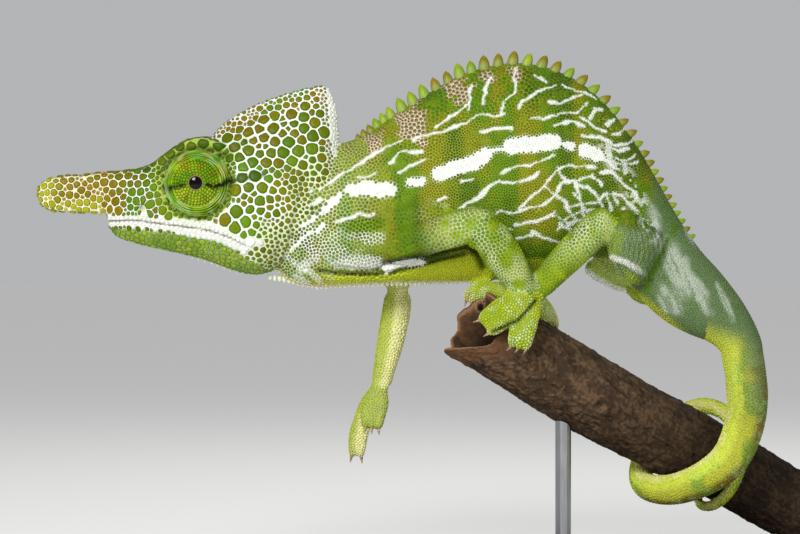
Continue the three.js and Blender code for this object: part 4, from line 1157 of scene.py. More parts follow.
def far_limb_colours(points, part, scale, net):
    """The hanging right arm has painted light and shade: cream, painted brighter, on the side the light falls
    on, and yellow-green on the other. The toes that reach round the branch from the left are cream too."""
    x, y, z = points.T
    palm = np.isin(part, ["hand_right_outer", "hand_right_outer_toe"])
    inner = np.maximum((y > 6) * soft_step(18.6 - y, -1.5, 1.5) * (x < 20), palm)
    arm_axis = np.interp(z, [-31.4, -19, -5.6], [-5.2, -2.4, -0.6])
    palm_axis = np.interp(z, [-49, -43, -36.6, -31.4], [-11.9, -11.2, -9.2, -6.4])
    blotched = 0.8 * (mottle(points, 3.2, 8.2) - 0.5)
    # painted light and shade: cream and 1.25 times brighter where light falls on the arm, yellow-green on its
    # shaded side
    lit = soft_step(x - np.where(palm, palm_axis, arm_axis) + blotched, -1.2, 0.8)
    far = mixed(mixed(LEAF, YELLOW, 0.7), mixed(CREAM, LIME, 0.25) * 1.25, lit)
    front_palm = np.isin(part, ["hand_right_inner", "hand_right_inner_toe"])
    far = mixed(far, mixed(LEAF, YELLOW, 0.45), 0.85 * front_palm)
    scale, net = mixed(scale, far, 0.9 * inner), mixed(net, mixed(far, WHITE, 0.25), 0.9 * inner)
    grasp = np.isin(part, ["foot_left_inner", "foot_left_inner_toe"]) * soft_step(y, -4, 1)
    grasp = np.maximum(grasp, np.isin(part, ["hand_left_inner", "hand_left_inner_toe"]) * soft_step(y, -3, 1))
    return mixed(scale, mixed(CREAM, YELLOW, 0.35), 0.85 * grasp), mixed(net, CREAM, 0.75 * grasp)


def thigh_colours(points, part, scale, net):
    """Ashen, finely folded thighs with white folds below them; a right leg painted brighter against the shade
    under the body, with a white edge on its shank that is painted brighter still.
    """
    x, y, z = points.T
    ashen = np.isin(part, THIGHS)
    folds = soft_step(np.sin(TURN * fold_phase(points)) + 0.8 * (mottle(points, 3.0, 7.7) - 0.5), -0.6, 0.8)
    ash = mixed(mixed(MOSS, LEAF, 0.4), GREY, 0.36 + 0.4 * folds + 0.4 * (mottle(points, 3.4, 1.9) - 0.5))
    ash = mixed(ash, mixed(LEAF, LIME, 0.5), 0.6 * (1 - soft_step(x - 0.25 * z, 51.5, 53.8)) * (z < 9))
    below = soft_step(-(z + 0.55 * (x - 57)), 1.0, 2.2) * soft_step(x, 54, 57)
    ash = mixed(ash, mixed(LEAF, LIME, 0.7), 0.9 * below)
    scale, net = mixed(scale, ash, 0.92 * ashen), mixed(net, mixed(ash, MOSS, 0.25), 0.92 * ashen)
    under = np.isin(part, ["thigh_right", "shank_right"])
    # painted light: the right leg lies in the shade under the body and is made 1.25 times brighter
    lit_green = mixed(LEAF, LIME, 0.7) * 1.25
    scale, net = mixed(scale, lit_green, 0.85 * under), mixed(net, mixed(lit_green, WHITE, 0.4), 0.85 * under)
    for half, line in FLAPS:
        white = line_distance(points, line) + 0.3 * (mottle(points, 1.3) - 0.5)
        white = (1 - soft_step(white, half, half + 0.7)) * ashen
        scale, net = mixed(scale, WHITE, 0.8 * white), mixed(net, WHITE, 0.9 * white)
    shank = [row[0:3:2] for row in LEGS["shank_right"]]
    knee = (part == "shank_right") * soft_step(line_distance(points, shank), 1.0, 1.5)
    # the shank's white edge is its own colour; the factor 1.15 on it is painted light against the shade
    return mixed(scale, WHITE * 1.15, knee), mixed(net, WHITE * 1.15, knee)


# %% The colours at any point
def colours_at(points, part, around, fleck):
    """Scale colour and net colour at each point, from the function of the point's own part. fleck is a random
    number from 0 to 1 for each scale, which picks between green and olive."""
    x, z = points[:, 0], points[:, 2]
    as_trunk = trunk_colours(points, fleck)
    scale, net = limb_colours(points, part, fleck)
    haunch = np.maximum(soft_step(x - 0.3 * z, 57, 62), soft_step(z + 0.2 * (x - 54), 9.0, 11.0))
    body = (part == "upper_arm_left") * (1 - soft_step(x, 2, 15)) + (part == "thigh_left") * haunch
    scale, net = mixed(scale, as_trunk[0], body), mixed(net, as_trunk[1], body)
    for mask, (part_scale, part_net) in [
        (part == "trunk", as_trunk),
        (part == "tail", tail_colours(points, around)),
        (part == "turret", turret_colours(points)),
        (np.isin(part, SKULL), head_colours(points, part, fleck)),
    ]:
        scale = np.where(mask[:, None], part_scale, scale)
        net = np.where(mask[:, None], part_net, net)
    return scale, net


def colour_layer(thing, colours):
    """Stores one linear colour at each point of a mesh, under the name tint."""
    layer = thing.data.color_attributes.new("tint", "FLOAT_COLOR", "POINT")
    rgba = np.ones((len(colours), 4), np.float32)
    rgba[:, :3] = colours
    layer.data.foreach_set("color", rgba.ravel())


_, skin_net = colours_at(skin_points, skin_part, skin_round, mottle(skin_points, 1.2, 15.0))
# painted shade: on the limbs, except their far sides, the skin between the scales is darkened to 0.8
shaded = ~np.isin(skin_part, BODY) & (skin_points[:, 1] < 4)
lined = line_share(skin_points) * (skin_part == "trunk")
colour_layer(skin, mixed(skin_net * np.where(shaded, 0.8, 1.0)[:, None], WHITE, lined))
print("skin's mean colour", np.round(skin_net.mean(0), 3).tolist())

# %% [markdown]
# ## Where the scales sit
# Scales are large tiles on the casque and temple, small beads on the flank and jaw, and rows on the lips
# and lids. Seeds are dropped on the skin, denser where scales are small, and then they push each other
# apart until each has its own room, just as real scales share the skin out between them.

# %% The scales' spacing
def spacing(points, part):
    """The distance between neighbouring scales at each point, in millimetres."""
    x, y, z = points.T
    skull, limb = np.isin(part, SKULL), ~np.isin(part, BODY)
    back = np.interp(x, [-20, 0, 20, 29, 38, 53, 59, 64], [30, 39, 49.7, 51.2, 49.6, 39, 30.8, 22.2])
    size = 0.74 + 0.55 * soft_step(z - back, -17, -3) * (1 - soft_step(x, 30, 52))
    size = np.where(x < 2, 1.0 + 0.25 * clouds(points, 6.0, 2.0, 0.5, 0.8), size)
    size = np.where(x < -18, 0.95 + 0.2 * soft_step(z, 8, 14), size)
    size = np.where(x > 55, 0.78, size)
    size = np.where(part == "tail", 0.85, size)
    size = np.where(limb, np.where(y > 0, 0.8, 1.0), size)
    size = np.where(part == "upper_arm_left", 1.05, size)
    size = np.where(part == "forearm_left", 1.05 - 0.2 * soft_step(-z, -8, 3), size)
    size = np.where(part == "shank_left", 0.9, size)
    size = np.where(np.isin(part, THIGHS), 0.68, size)
    size = np.where(np.isin(part, GRIPS), 0.76, size)
    jaw_line = np.interp(x, [-73, -47, -38, -33, -25], [11, 8.6, 5, 1, 6])
    rear = 0.8 * soft_step(x, -36, -24) * (1 - soft_step(z, 20, 30))
    rear = np.maximum(rear, 0.97 * soft_step(x + 0.12 * z, -15.6, -13.9))
    rear = np.maximum(rear, 0.86 * soft_step(x, -39, -31) * (1 - soft_step(z, 9, 17)))
    tiles = 3.0 - 2.0 * rear
    tiles = np.where(z < jaw_line, 1.45, tiles)
    tiles = np.where(x < -58, np.minimum(tiles, 2.2), tiles)
    tiles = np.where(part == "blade", 2.1, tiles)
    tiles = np.where((np.abs(y) < 2.4) & (tiles > 1.8), 1.8, tiles)
    tiles = np.where((np.abs(y) < 1.0) & (tiles > 1.35) & (x > -50), 1.35, tiles)
    tiles = np.where((eye_reach(points) < 10.2) & (tiles > 1.3), 1.3, tiles)
    tiles = np.where((line_distance(points, MOUTH) < 2.1) & (tiles > 1.25) & (x < -37), 1.25, tiles)
    return np.where(skull, tiles, size)


skin_spacing = spacing(skin_points, skin_part)
quads = numbers_of(skin.data.loops, "vertex_index", np.int32)
sizes = numbers_of(skin.data.polygons, "loop_total", np.int32)
areas = numbers_of(skin.data.polygons, "area")
skin_area = np.bincount(quads, np.repeat(areas / sizes, sizes), len(skin_points)) * 1e6
print("skin area", round(skin_area.sum()), "square mm")

# %% Rows that are given: the lids' rings and the lips
def lid_rings(side):
    """Rings of seeds round the eye's axis, each 0.68 wider than the last, on the turret's profile."""
    profile = glide(TURRET, np.linspace(0, 1, 400))
    profile = profile[profile[:, 1] > 6.5]
    seeds, sizes = [], []
    for ring, reach in enumerate(np.arange(2.3, 5.9, 0.68)):
        outer = profile[np.argmin(np.abs(profile[:, 0] - reach) + 10 * (profile[:, 0] < 1.95))]
        count = int(TURN * reach / 0.8)
        turn = TURN * (np.arange(count) + 0.5 * (ring % 2)) / count
        x = EYE_AT[0] + reach * np.cos(turn)
        z = EYE_AT[2] + reach * np.sin(turn)
        seeds.append(np.stack([x, np.full(count, side * outer[1]), z], -1))
        sizes.append(np.full(count, 0.4))
    return np.concatenate(seeds), np.concatenate(sizes)


def lip_rows(side):
    """Seeds every 1.15 along the mouth's line, 0.62 above it and 0.62 below it."""
    line = np.array(MOUTH)
    walked = np.r_[0, np.cumsum(np.linalg.norm(np.diff(line, axis=0), axis=1))]
    at = np.arange(1.0, walked[-1], 1.15)
    x, z = np.interp(at, walked, line[:, 0]), np.interp(at, walked, line[:, 1])
    rows = [np.stack([x, np.full(len(x), side * 20.0), z + lift], -1) for lift in (0.62, -0.62)]
    return np.concatenate(rows), np.full(2 * len(x), 0.56)


def drop_to_side(points):
    """Moves points that float beside the head onto the skin's outermost point at the same x and z."""
    side = np.sign(points[0, 1])
    facing = (skin_points[:, 1] * side > 0.8) & (skin_normals[:, 1] * side > 0.2)
    pool = np.where((skin_part == "head") & facing)[0]
    flat_pool = skin_points[pool] * [1, 0, 1]
    found = nearest(points * [1, 0, 1], flat_pool, 2.5)
    keep = found >= 0
    points = points[keep].copy()
    points[:, 1] = skin_points[pool[found[keep]], 1]
    return points, keep


fixed_seeds, fixed_radii = [], []
for side in (-1, 1):
    rings, ring_sizes = lid_rings(side)
    lips, lip_sizes = lip_rows(side)
    lips, kept = drop_to_side(lips)
    fixed_seeds += [rings, lips]
    fixed_radii += [ring_sizes, lip_sizes[kept]]
fixed_seeds, fixed_radii = np.concatenate(fixed_seeds), np.concatenate(fixed_radii)
print("seeds placed in rows", len(fixed_seeds))

# %% Seeds that find their own place
def settle(points, reach=1.3):
    """Each point moved straight onto the flat patch of its nearest skin point, with that point's index."""
    near = nearest(points, skin_points, reach)
    ok = near >= 0
    near = np.maximum(near, 0)
    height = np.sum((points - skin_points[near]) * skin_normals[near], axis=1) * ok
    return points - skin_normals[near] * height[:, None], near


chance = skin_area / (np.where(skin_spacing > 1.3, 0.81, 0.87) * skin_spacing**2)
chance[skin_part == "turret"] = 0
at_lips = (skin_part == "head") & (np.abs(skin_points[:, 1]) > 0.8)
chance[at_lips & (line_distance(skin_points, MOUTH) < 1.15)] = 0
wanted = int(chance.sum())
picked = rng.choice(len(skin_points), wanted, p=chance / chance.sum())
seeds = skin_points[picked] + rng.normal(0, 0.3, (wanted, 3))
mixed_sizes = rng.choice([0.62, 0.9, 1.06, 1.2], wanted)
like_sizes = rng.uniform(0.9, 1.1, wanted)
uneven = np.where(skin_spacing[picked] > 1.4, mixed_sizes, like_sizes)
radii = skin_spacing[picked] / 2 * uneven
seeds = np.concatenate([fixed_seeds, seeds])
radii = np.concatenate([fixed_radii, radii])
free = np.arange(len(seeds)) >= len(fixed_seeds)
seeds, root = settle(seeds)


LARGE = 0.62  # the radius above which a scale counts as large


def touching(seeds, radii, stretch):
    """Pairs of seeds closer than stretch times the sum of their radii: the small ones in one narrow search,
    then the large ones in a wide one, so that the narrow search stays quick."""
    large = radii > LARGE
    i, j, gap = close_pairs(seeds, seeds, 2 * LARGE * stretch)
    big = np.where(large)[0]
    bi, bj, bgap = close_pairs(seeds[big], seeds, 2 * radii.max() * stretch)
    outside = bgap >= 2 * LARGE * stretch
    i = np.concatenate([i, big[bi[outside]], bj[outside & ~large[bj]]])
    j = np.concatenate([j, bj[outside], big[bi[outside & ~large[bj]]]])
    gap = np.concatenate([gap, bgap[outside], bgap[outside & ~large[bj]]])
    near = (gap > 1e-6) & (gap < stretch * (radii[i] + radii[j]))
    return i[near], j[near], gap[near]


ROOM = 1.12  # the room that a scale asks for, as a share of its size
for _ in range(26):
    i, j, gap = touching(seeds, radii, ROOM)
    push = (ROOM * (radii[i] + radii[j]) - gap) / gap * np.where(free[j], 0.5, 1.0) * 0.5
    push *= np.sum(skin_normals[root[i]] * skin_normals[root[j]], axis=1) > 0.1
    move = np.stack([np.bincount(i, push * (seeds[i, k] - seeds[j, k]), len(seeds)) for k in range(3)], -1)
    length = np.linalg.norm(move, axis=1, keepdims=True)
    move *= np.minimum(1, 0.6 * radii[:, None] / np.maximum(length, 1e-9)) * free[:, None]
    seeds, root = settle(seeds + move)
held = np.linalg.norm(seeds - skin_points[root], axis=1) < 1.4
held &= (reach_from(seeds, NOSTRIL) > 0.8 + 0.6 * radii) | (np.abs(seeds[:, 1]) < 2)
seeds, root, radii = seeds[held], root[held], radii[held]
print("scales", len(seeds))

# %% [markdown]
# Each scale's outline is the middle line between it and its neighbours, a cell like those of a honeycomb,
# with its corners rounded off. A scale that has a bigger neighbour gives way to it.

# %% The outline of each scale
normal = skin_normals[root]
first_side = unit(np.cross(normal, np.array([0.31, 0.2, 0.93])))
second_side = np.cross(normal, first_side)


def outlines(chosen, sides):
    """For each chosen seed, how far its cell reaches at each angle. A neighbour at distance d and angle a
    limits it to (d^2 + r^2 - s^2) / (2 d cos(angle - a)); the limits join as a power sum, which rounds the
    corners."""
    power = 18 if sides == 12 else 10
    number = np.full(len(seeds), -1)
    number[chosen] = np.arange(len(chosen))
    inside = (number[pair_i] >= 0) & (np.sum(normal[pair_i] * normal[pair_j], axis=1) > 0.15)
    i, j = pair_i[inside], pair_j[inside]
    step = seeds[j] - seeds[i]
    u, v = np.sum(step * first_side[i], axis=1), np.sum(step * second_side[i], axis=1)
    d = np.maximum(np.hypot(u, v), 1e-6)
    edge = (d**2 + radii[i] ** 2 - radii[j] ** 2) / (2 * d)
    edge = np.maximum(edge, 0.2 * radii[i])
    bearing = np.arctan2(v, u)
    angles = TURN * np.arange(sides) / sides
    own = (1 / (spread[chosen] * radii[chosen])) ** power
    reach = np.empty((len(chosen), sides))
    for k, angle in enumerate(angles):
        facing = np.cos(angle - bearing)
        limit = np.where(facing > 0.05, (facing / edge) ** power, 0)
        reach[:, k] = np.bincount(number[i], limit, len(chosen)) + own
    return reach ** (-1 / power), angles


spread = np.where(np.isin(skin_part[root], SKULL), 1.9, 1.5)
pair_i, pair_j, _ = touching(seeds, radii, 1.9)
agree = np.sum(normal[pair_i] * normal[pair_j], axis=1)
bend = np.bincount(pair_i, agree, len(seeds)) / np.maximum(np.bincount(pair_i, minlength=len(seeds)), 1)
spread = np.where(bend < 0.72, np.where(skin_part[root] == "blade", 1.25, 1.0), spread)
print("neighbours a scale", round(len(pair_i) / len(seeds), 1))

# %% [markdown]
# A scale is a low dome: a rim sunk in the skin, one or two rings, and a tip. Its underside is closed by one
# face. Small beads have six sides and the head's tiles twelve, which keeps the whole coat light enough.
# Every dome's UV patch is tiny and sits where its root lies on the unrolled skin, so its baked colour stays
# its own.

# %% The kinds of dome
DOMES = {  # sides, and rings as (share of the outline, share of the height)
    "bead": (6, [(1.0, -0.35), (0.7, 0.8)]),
    "knob": (8, [(1.0, -0.3), (0.86, 0.62), (0.46, 0.96)]),
    "tile": (12, [(1.0, -0.25), (0.92, 0.62), (0.6, 0.97)]),
}
seed_part, seed_form = skin_part[root], skin_form[root]
seed_along, seed_round = skin_along[root], skin_round[root]
skull_seed, limb_seed = np.isin(seed_part, SKULL), ~np.isin(seed_part, BODY)
large_seed = skull_seed & (radii > LARGE)
kind = np.where(radii < 0.5, 0, np.where(radii < 0.8, 1, 2))

fleck = rng.random(len(seeds))
scale_colour, net_colour = colours_at(seeds, seed_part, seed_round, fleck)
scale_colour *= (0.86 + 0.28 * rng.random(len(seeds)))[:, None]
tinged = large_seed * (1 - soft_step(scale_colour[:, 2], 0.25, 0.5))
rim_colour = mixed(mixed(scale_colour, net_colour, 0.3), scale_colour, 0.7 * limb_seed)
rim_colour = mixed(rim_colour, mixed(scale_colour * 0.75, GREEN, 0.5), tinged)
tip_colour = mixed(scale_colour, mixed(scale_colour, UMBER, 0.6), tinged * fleck)

open_net = soft_step(seeds[:, 0], -44, -38) * (1 - soft_step(seeds[:, 2], 14, 19))
open_net = np.maximum(open_net, clouds(seeds, 6.0, 1.7, 0.55, 0.75) * (seeds[:, 0] > -56))
open_net *= soft_step(eye_reach(seeds), 10.5, 12.5)
net_gap = np.where(np.isin(seed_part, ["upper_arm_left", "forearm_left", "shank_left"]), 0.062, 0.035)
net_gap = np.where(skull_seed, 0.03 + 0.045 * radii + 0.13 * open_net * (radii > LARGE), net_gap)
net_gap = np.where(seed_part == "turret", 0.04, net_gap)
blade_edge = (seed_part == "blade") * soft_step(np.hypot(normal[:, 0], normal[:, 2]), 0.6, 0.9)
tall = np.select([kind == 0, kind == 1], [0.34 * radii + 0.05, 0.26 * radii + 0.06], 0.12 * radii + 0.14)
tall = tall + 0.22 * blade_edge * (0.4 + fleck)
print("beads, knobs and tiles", np.bincount(kind).tolist(), "up to", round(tall.max(), 2), "mm tall")

# %% Building domes
PATCH = 0.003  # width of a dome's patch on the UV map


def dome_faces(levels, sides):
    """The corners of one dome whose points are its rings from the bottom up and then its tip: four-sided
    cells between rings, a fan to the tip, and one face below. With them come the corners of each face."""
    ring = np.arange(sides)
    ahead = (ring + 1) % sides
    lower = sides * np.arange(levels - 1)[:, None]
    cells = np.stack([lower + ring, lower + ahead, lower + sides + ahead, lower + sides + ring], -1)
    top = (levels - 1) * sides
    fan = np.stack([top + ring, top + ahead, np.full(sides, top + sides)], -1)
    corners = np.concatenate([cells.ravel(), fan.ravel(), ring[::-1]])
    return corners, np.concatenate([np.full(top, 4), np.full(sides, 3), [sides]])


def unrolled(chosen):
    """UV of each root: each form has its own square of a chart, with along one way and round the other."""
    present, place = np.unique(seed_form[chosen], return_inverse=True)
    columns = int(np.ceil(np.sqrt(len(present))))
    origin = np.stack([place % columns, place // columns], -1)
    inside = np.stack([seed_round[chosen], seed_along[chosen]], -1) * 0.94 + 0.03
    return (origin + inside) / columns


def dome_rings(mine, sides, rings):
    """The points, colours and UVs of the chosen domes, each an array of dome by point. A ring is the
    outline times its share, laid on the skin and lifted along the normal by its share of the height."""
    reach, angles = outlines(mine, sides)
    reach = np.maximum(reach - net_gap[mine, None], 0.35 * radii[mine, None])
    cos, sin = np.cos(angles), np.sin(angles)
    outwards = first_side[mine, None] * cos[None, :, None] + second_side[mine, None] * sin[None, :, None]
    middle_uv = unrolled(mine)[:, None]
    dial = PATCH / 2 * np.stack([cos, sin], -1)[None]
    levels, tints, patches = [], [], []
    for share, height in rings:
        flat = seeds[mine, None] + outwards * (share * reach)[:, :, None]
        flat = settle(flat.reshape(-1, 3))[0].reshape(flat.shape)
        levels.append(flat + normal[mine, None] * (height * tall[mine])[:, None, None])
        tints.append(np.repeat((rim_colour if share > 0.8 else scale_colour)[mine][:, None], sides, 1))
        patches.append(middle_uv + dial * share)
    levels.append((seeds[mine] + normal[mine] * tall[mine, None])[:, None])
    tints.append(tip_colour[mine][:, None])
    patches.append(middle_uv)
    return [np.concatenate(rows, 1).reshape(-1, rows[0].shape[-1]) for rows in (levels, tints, patches)]


def scale_piece(name, chosen):
    """One mesh with all the chosen scales, built from whole arrays for each of the three kinds of dome."""
    made, corners, sizes, first = [], [], [], 0
    for number, (sides, rings) in enumerate(DOMES.values()):
        mine = chosen[kind[chosen] == number]
        if len(mine) == 0:
            continue
        made.append(dome_rings(mine, sides, rings))
        dome, counts = dome_faces(len(rings), sides)
        each = len(rings) * sides + 1
        corners.append((first + each * np.arange(len(mine))[:, None] + dome[None]).ravel())
        sizes.append(np.tile(counts, len(mine)))
        first += each * len(mine)
    points, colours, uvs = (np.concatenate(rows) for rows in zip(*made))
    sizes = np.concatenate(sizes)
    thing = mesh_of(name, points, np.concatenate(corners), sizes)
    if (seed_part[chosen] == "trunk").all():
        colours = mixed(colours, WHITE, line_share(points))
    colour_layer(thing, colours)
    used = numbers_of(thing.data.loops, "vertex_index", np.int32)
    layer = thing.data.uv_layers.new(name="OFBake")
    layer.data.foreach_set("uv", uvs[used].astype(np.float32).ravel())
    print(name, "scales", len(chosen), "triangles", int(np.sum(sizes - 2)))
    return thing


# %% The coat, in pieces of one region each
left = seeds[:, 1] < 0
front, rear = seeds[:, 0] < 12, seeds[:, 0] >= 40
on_trunk = seed_part == "trunk"
REGIONS = {
    "scales_head": skull_seed | (seed_part == "turret"),
    "scales_shoulder": on_trunk & front,
    "scales_flank": on_trunk & ~front & ~rear,
    "scales_rump": on_trunk & rear,
    "scales_limbs": limb_seed,
}
coat = []
for name, region in REGIONS.items():
    coat.append(scale_piece(name + "_left", np.where(region & left)[0]))
    coat.append(scale_piece(name + "_right", np.where(region & ~left)[0]))
coat.append(scale_piece("scales_tail", np.where(seed_part == "tail")[0]))

# %% [markdown]
# ## Cones, claws and eyes
# The crest's cones are soft spines of skin. Each is a profile turned about its own axis and leaning back a
# little. All of them are made in one go: the first index of the array is the cone, the second the ring, the
# third the side.

# %% Rows of cones
def cones(name, feet, axes, heights, widths, sides=12, rings=8):
    """One mesh of cones: foot plus axis times height share, with half width times (1 - share^2.8)^0.75
    round it. With it come each point's share of the height and the number of its cone."""
    share = np.linspace(0, 1, rings)
    profile = (1 - share[:-1] ** 2.8) ** 0.75
    one = unit(np.cross(axes, np.array([0.11, 0.97, 0.2])))
    two = np.cross(axes, one)
    turn = full_turn(sides)
    ring = one[:, None] * np.cos(turn)[None, :, None] + two[:, None] * np.sin(turn)[None, :, None]
    body = feet[:, None, None] + axes[:, None, None] * (heights[:, None] * share[:-1])[:, :, None, None]
    body = body + ring[:, None] * (widths[:, None] * profile)[:, :, None, None]
    tips = feet + axes * heights[:, None]
    points = np.concatenate([body.reshape(len(feet), -1, 3), tips[:, None]], 1)
    cone, counts = dome_faces(rings - 1, sides)
    corners = (points.shape[1] * np.arange(len(feet))[:, None] + cone[None]).ravel()
    thing = mesh_of(name, points.reshape(-1, 3), corners, np.tile(counts, len(feet)))
    print(name, len(feet), "cones up to", round(heights.max(), 2), "mm")
    up = np.append(np.repeat(share[:-1], sides), 1.0)
    return thing, np.tile(up, len(feet)), np.repeat(np.arange(len(feet)), len(up))


# %% Cones of the crest
# Shares of the body's length where the crest starts, where it is full and where it ends.
FIRST_AT, FULL_AT, LAST_AT = 0.098, 0.165, 0.76
walk = np.cumsum(1 - 0.42 * soft_step(np.arange(32), 14, 26))
t = np.concatenate([np.linspace(FIRST_AT, FULL_AT, 6), FULL_AT + (LAST_AT - FULL_AT) * walk / walk[-1]])
share = (t - t[0]) / (t[-1] - t[0])
here, beyond = glide(TRUNK, t), glide(TRUNK, t + 0.004)
ridge = unit(np.stack([beyond[:, 0] - here[:, 0], 0 * t, beyond[:, 1] - here[:, 1]], -1))
out = unit(np.stack([-ridge[:, 2], 0 * t, ridge[:, 0]], -1) + 0.2 * ridge)
pick = np.random.default_rng(5).random((3, len(t)))
size = soft_step(share, -0.12, 0.16) * (1 - 0.62 * share**2.4) * (0.88 + 0.2 * pick[1])
feet = np.stack([here[:, 0], 0 * t, here[:, 1]], -1) - out * 1.1
crest, up_cone, of_cone = cones("crest_cones", feet, out, 3.1 * size + 1.1, 1.46 * (0.35 + 0.65 * size))
leafy = mixed(LEAF, YELLOW, 0.35 * pick[2])
cone_colour = mixed(leafy, mixed(OLIVE, OCHRE, 0.2 + 0.4 * pick[2]), 0.85 * (pick[0] > 0.45))
foot_colour = mixed(mixed(cone_colour, LEAF, 0.5), WHITE, 0.08)
colour_layer(crest, mixed(foot_colour[of_cone], cone_colour[of_cone], soft_step(up_cone, 0.3, 0.7)))

# %% [markdown]
# A fringe of smaller, pale cones hangs from the chin, the throat and the front of the belly.

# %% Cones of the throat and belly
belly_x = np.concatenate([np.arange(-52, -38, 1.6), np.arange(-32.5, 20, 1.17)])
chin = belly_x < -38
edge_x = [-52, -47, -42, -38, -33, -28.5, -21, -11, -1, 9, 19, 24]
edge_z = [2.6, 1.1, -0.9, -1.9, -2.6, -3.3, -5, -4.5, -4.1, -4, -3.8, -3.4]
feet = np.stack([belly_x, 0 * belly_x, np.interp(belly_x, edge_x, edge_z) + 0.7], -1)
axes = np.broadcast_to(unit(np.array([0.12, 0, -1.0])), feet.shape)
length = np.where(chin, 1.35, 1.55) * (1 - 0.35 * soft_step(belly_x, 0, 20))
fringe, up_cone, _ = cones("throat_cones", feet, axes, length, np.where(chin, 0.4, 0.56), 8, 6)
colour_layer(fringe, np.tile(mixed(WHITE, YELLOW, 0.25), (len(up_cone), 1)))

# %% [markdown]
# Claws are horn: hard, smooth, curved and sharp. Each is a tube along a short hooked path that grows thinner.

# %% Claws
def claw_forms():
    """From each toe's tip, a path that runs on and then bends by the square of its length: towards the
    branch's axis on the three feet that grip it, and a little outwards on the free hand. The radius falls
    almost to nothing."""
    grids = []
    for name, rows in BUNDLES.items():
        tip, along, beside, places = toe_places(rows, toe_count(name))
        inward = PERCH_ORIGIN - tip[:3]
        inward = unit(inward - PERCH_ALONG * (inward @ PERCH_ALONG))
        free_hand = name.startswith("hand_right")
        for place in places:
            root_at = tip[:3] + beside * place * tip[3] * 0.6
            s = np.array([0, 0.25, 0.5, 0.75, 1.0])
            reach, bend = (2.7, 0.25) if free_hand else (2.1, 1.5)
            path = root_at + along * (reach * s - 0.5 - 0.2 * s**2)[:, None]
            path = path + beside * (place * 0.35 * s)[:, None]
            path = path + inward * (bend * s**2)[:, None]
            radius = 0.58 * (1 - 0.86 * s)
            grids.append(limb_form(np.column_stack([path, radius, radius]), 12, 10, (0, 0.12), 0.4, 0))
    return grids


claws = grid_object("claws", claw_forms())
print("claws", sum(toe_count(name) for name in BUNDLES), "points", len(claws.data.vertices))

# %% [markdown]
# The eyeball is dark and wet. Only its front shows through the hole in the lids, with a thin gold ring
# round the pupil. Its grid runs from the pupil back, so a ring of colour is simply a band of the first
# index.

# %% Eyes
def eye_piece(name, side):
    """A sphere as rings about the eye's axis: radius times sine and cosine of the angle from the pupil's
    middle."""
    angle = np.linspace(0.02, np.pi - 0.02, 60)[:, None]
    turn = full_turn(48)[None, :]
    x = EYE_AT[0] + EYE_BALL * np.sin(angle) * np.cos(turn)
    z = EYE_AT[2] + EYE_BALL * np.sin(angle) * np.sin(turn)
    y = side * (EYE_AT[1] + EYE_BALL * np.cos(angle) + 0 * turn)
    thing = grid_object(name, [np.stack([x, y, z], -1)])
    spot = EYE_BALL * np.sin(np.broadcast_to(angle, x.shape)).ravel()
    front = np.cos(np.broadcast_to(angle, x.shape)).ravel() > 0
    gold = soft_step(spot, 1.56, 1.7)
    colour = mixed(np.full((len(spot), 3), 0.003), paint(120, 92, 50), 0.8 * gold * front)
    colour_layer(thing, np.concatenate([colour, colour[:1], colour[-1:]]))
    return thing


eyes = [eye_piece("eyeball_left", -1), eye_piece("eyeball_right", 1)]
print("eyeballs", len(eyes), "of", 2 * EYE_BALL, "mm")

# %% [markdown]
# The lids end in a thin edge round the pupil, and soft folds ring the turret's foot, where it turns in its
# socket. Each is a thin ring that lies on the turret's profile.

# %% Lid folds
FOLDS = [  # radius about the eye's axis and radius of the fold itself
    (1.76, 0.11), (6.0, 0.24), (6.5, 0.27), (7.0, 0.27), (7.45, 0.26), (7.85, 0.25), (8.15, 0.24),
]
FOLD_AROUND, FOLD_SIDES = 120, 8
FOLD_CELLS = FOLD_AROUND * FOLD_SIDES


def lid_folds(name, side):
    """The lids' thin edge at the pupil and the folds round the turret's foot: rings of circles, each with
    its main radius about the eye's axis, wavering by noise, and its tube radius, on the turret's
    profile."""
    profile = glide(TURRET, np.linspace(0, 1, 400))
    profile = profile[profile[:, 1] > 5.5]
    turn, ring = full_turn(FOLD_AROUND)[:, None], full_turn(FOLD_SIDES)[None, :]
    i, j = np.meshgrid(np.arange(FOLD_AROUND), np.arange(FOLD_SIDES), indexing="ij")
    here, ahead = i * FOLD_SIDES, (i + 1) % FOLD_AROUND * FOLD_SIDES
    right = (j + 1) % FOLD_SIDES
    cells = np.stack([here + j, here + right, ahead + right, ahead + j][::side], -1)
    points, faces = [], []
    for number, (main, tube) in enumerate(FOLDS):
        where = np.stack([6 * np.cos(turn[:, 0]), 6 * np.sin(turn[:, 0]), 0 * turn[:, 0] + 9 * number], -1)
        waver = (mottle(where, 2.2, number) - 0.5)[:, None] * (0.26 if main > 3 else 0.0)
        thick = tube * (1 + (0.5 * (mottle(where, 1.3, 3.0) - 0.5)[:, None] if main > 3 else 0.0))
        centre = main + waver
        out = np.interp(centre, profile[::-1, 0], profile[::-1, 1]) if main > 3 else 12.78 + 0 * centre
        reach = centre + thick * np.cos(ring)
        y = side * (out + thick * np.sin(ring))
        x, z = EYE_AT[0] + reach * np.cos(turn), EYE_AT[2] + reach * np.sin(turn)
        points.append(np.stack([x, y, z], -1).reshape(-1, 3))
        faces.append(cells.ravel() + FOLD_CELLS * number)
    points = np.concatenate(points)
    thing = mesh_of(name, points, np.concatenate(faces), np.full(FOLD_CELLS * len(FOLDS), 4))
    lid, _ = turret_colours(points)
    lid = mixed(lid, mixed(LIME, WHITE, 0.4), 0.35 * clouds(points, 1.5, 7.0, 0.3, 0.7))
    lid[:FOLD_CELLS] = paint(150, 132, 84)  # the thin edge at the pupil
    colour_layer(thing, lid)
    return thing


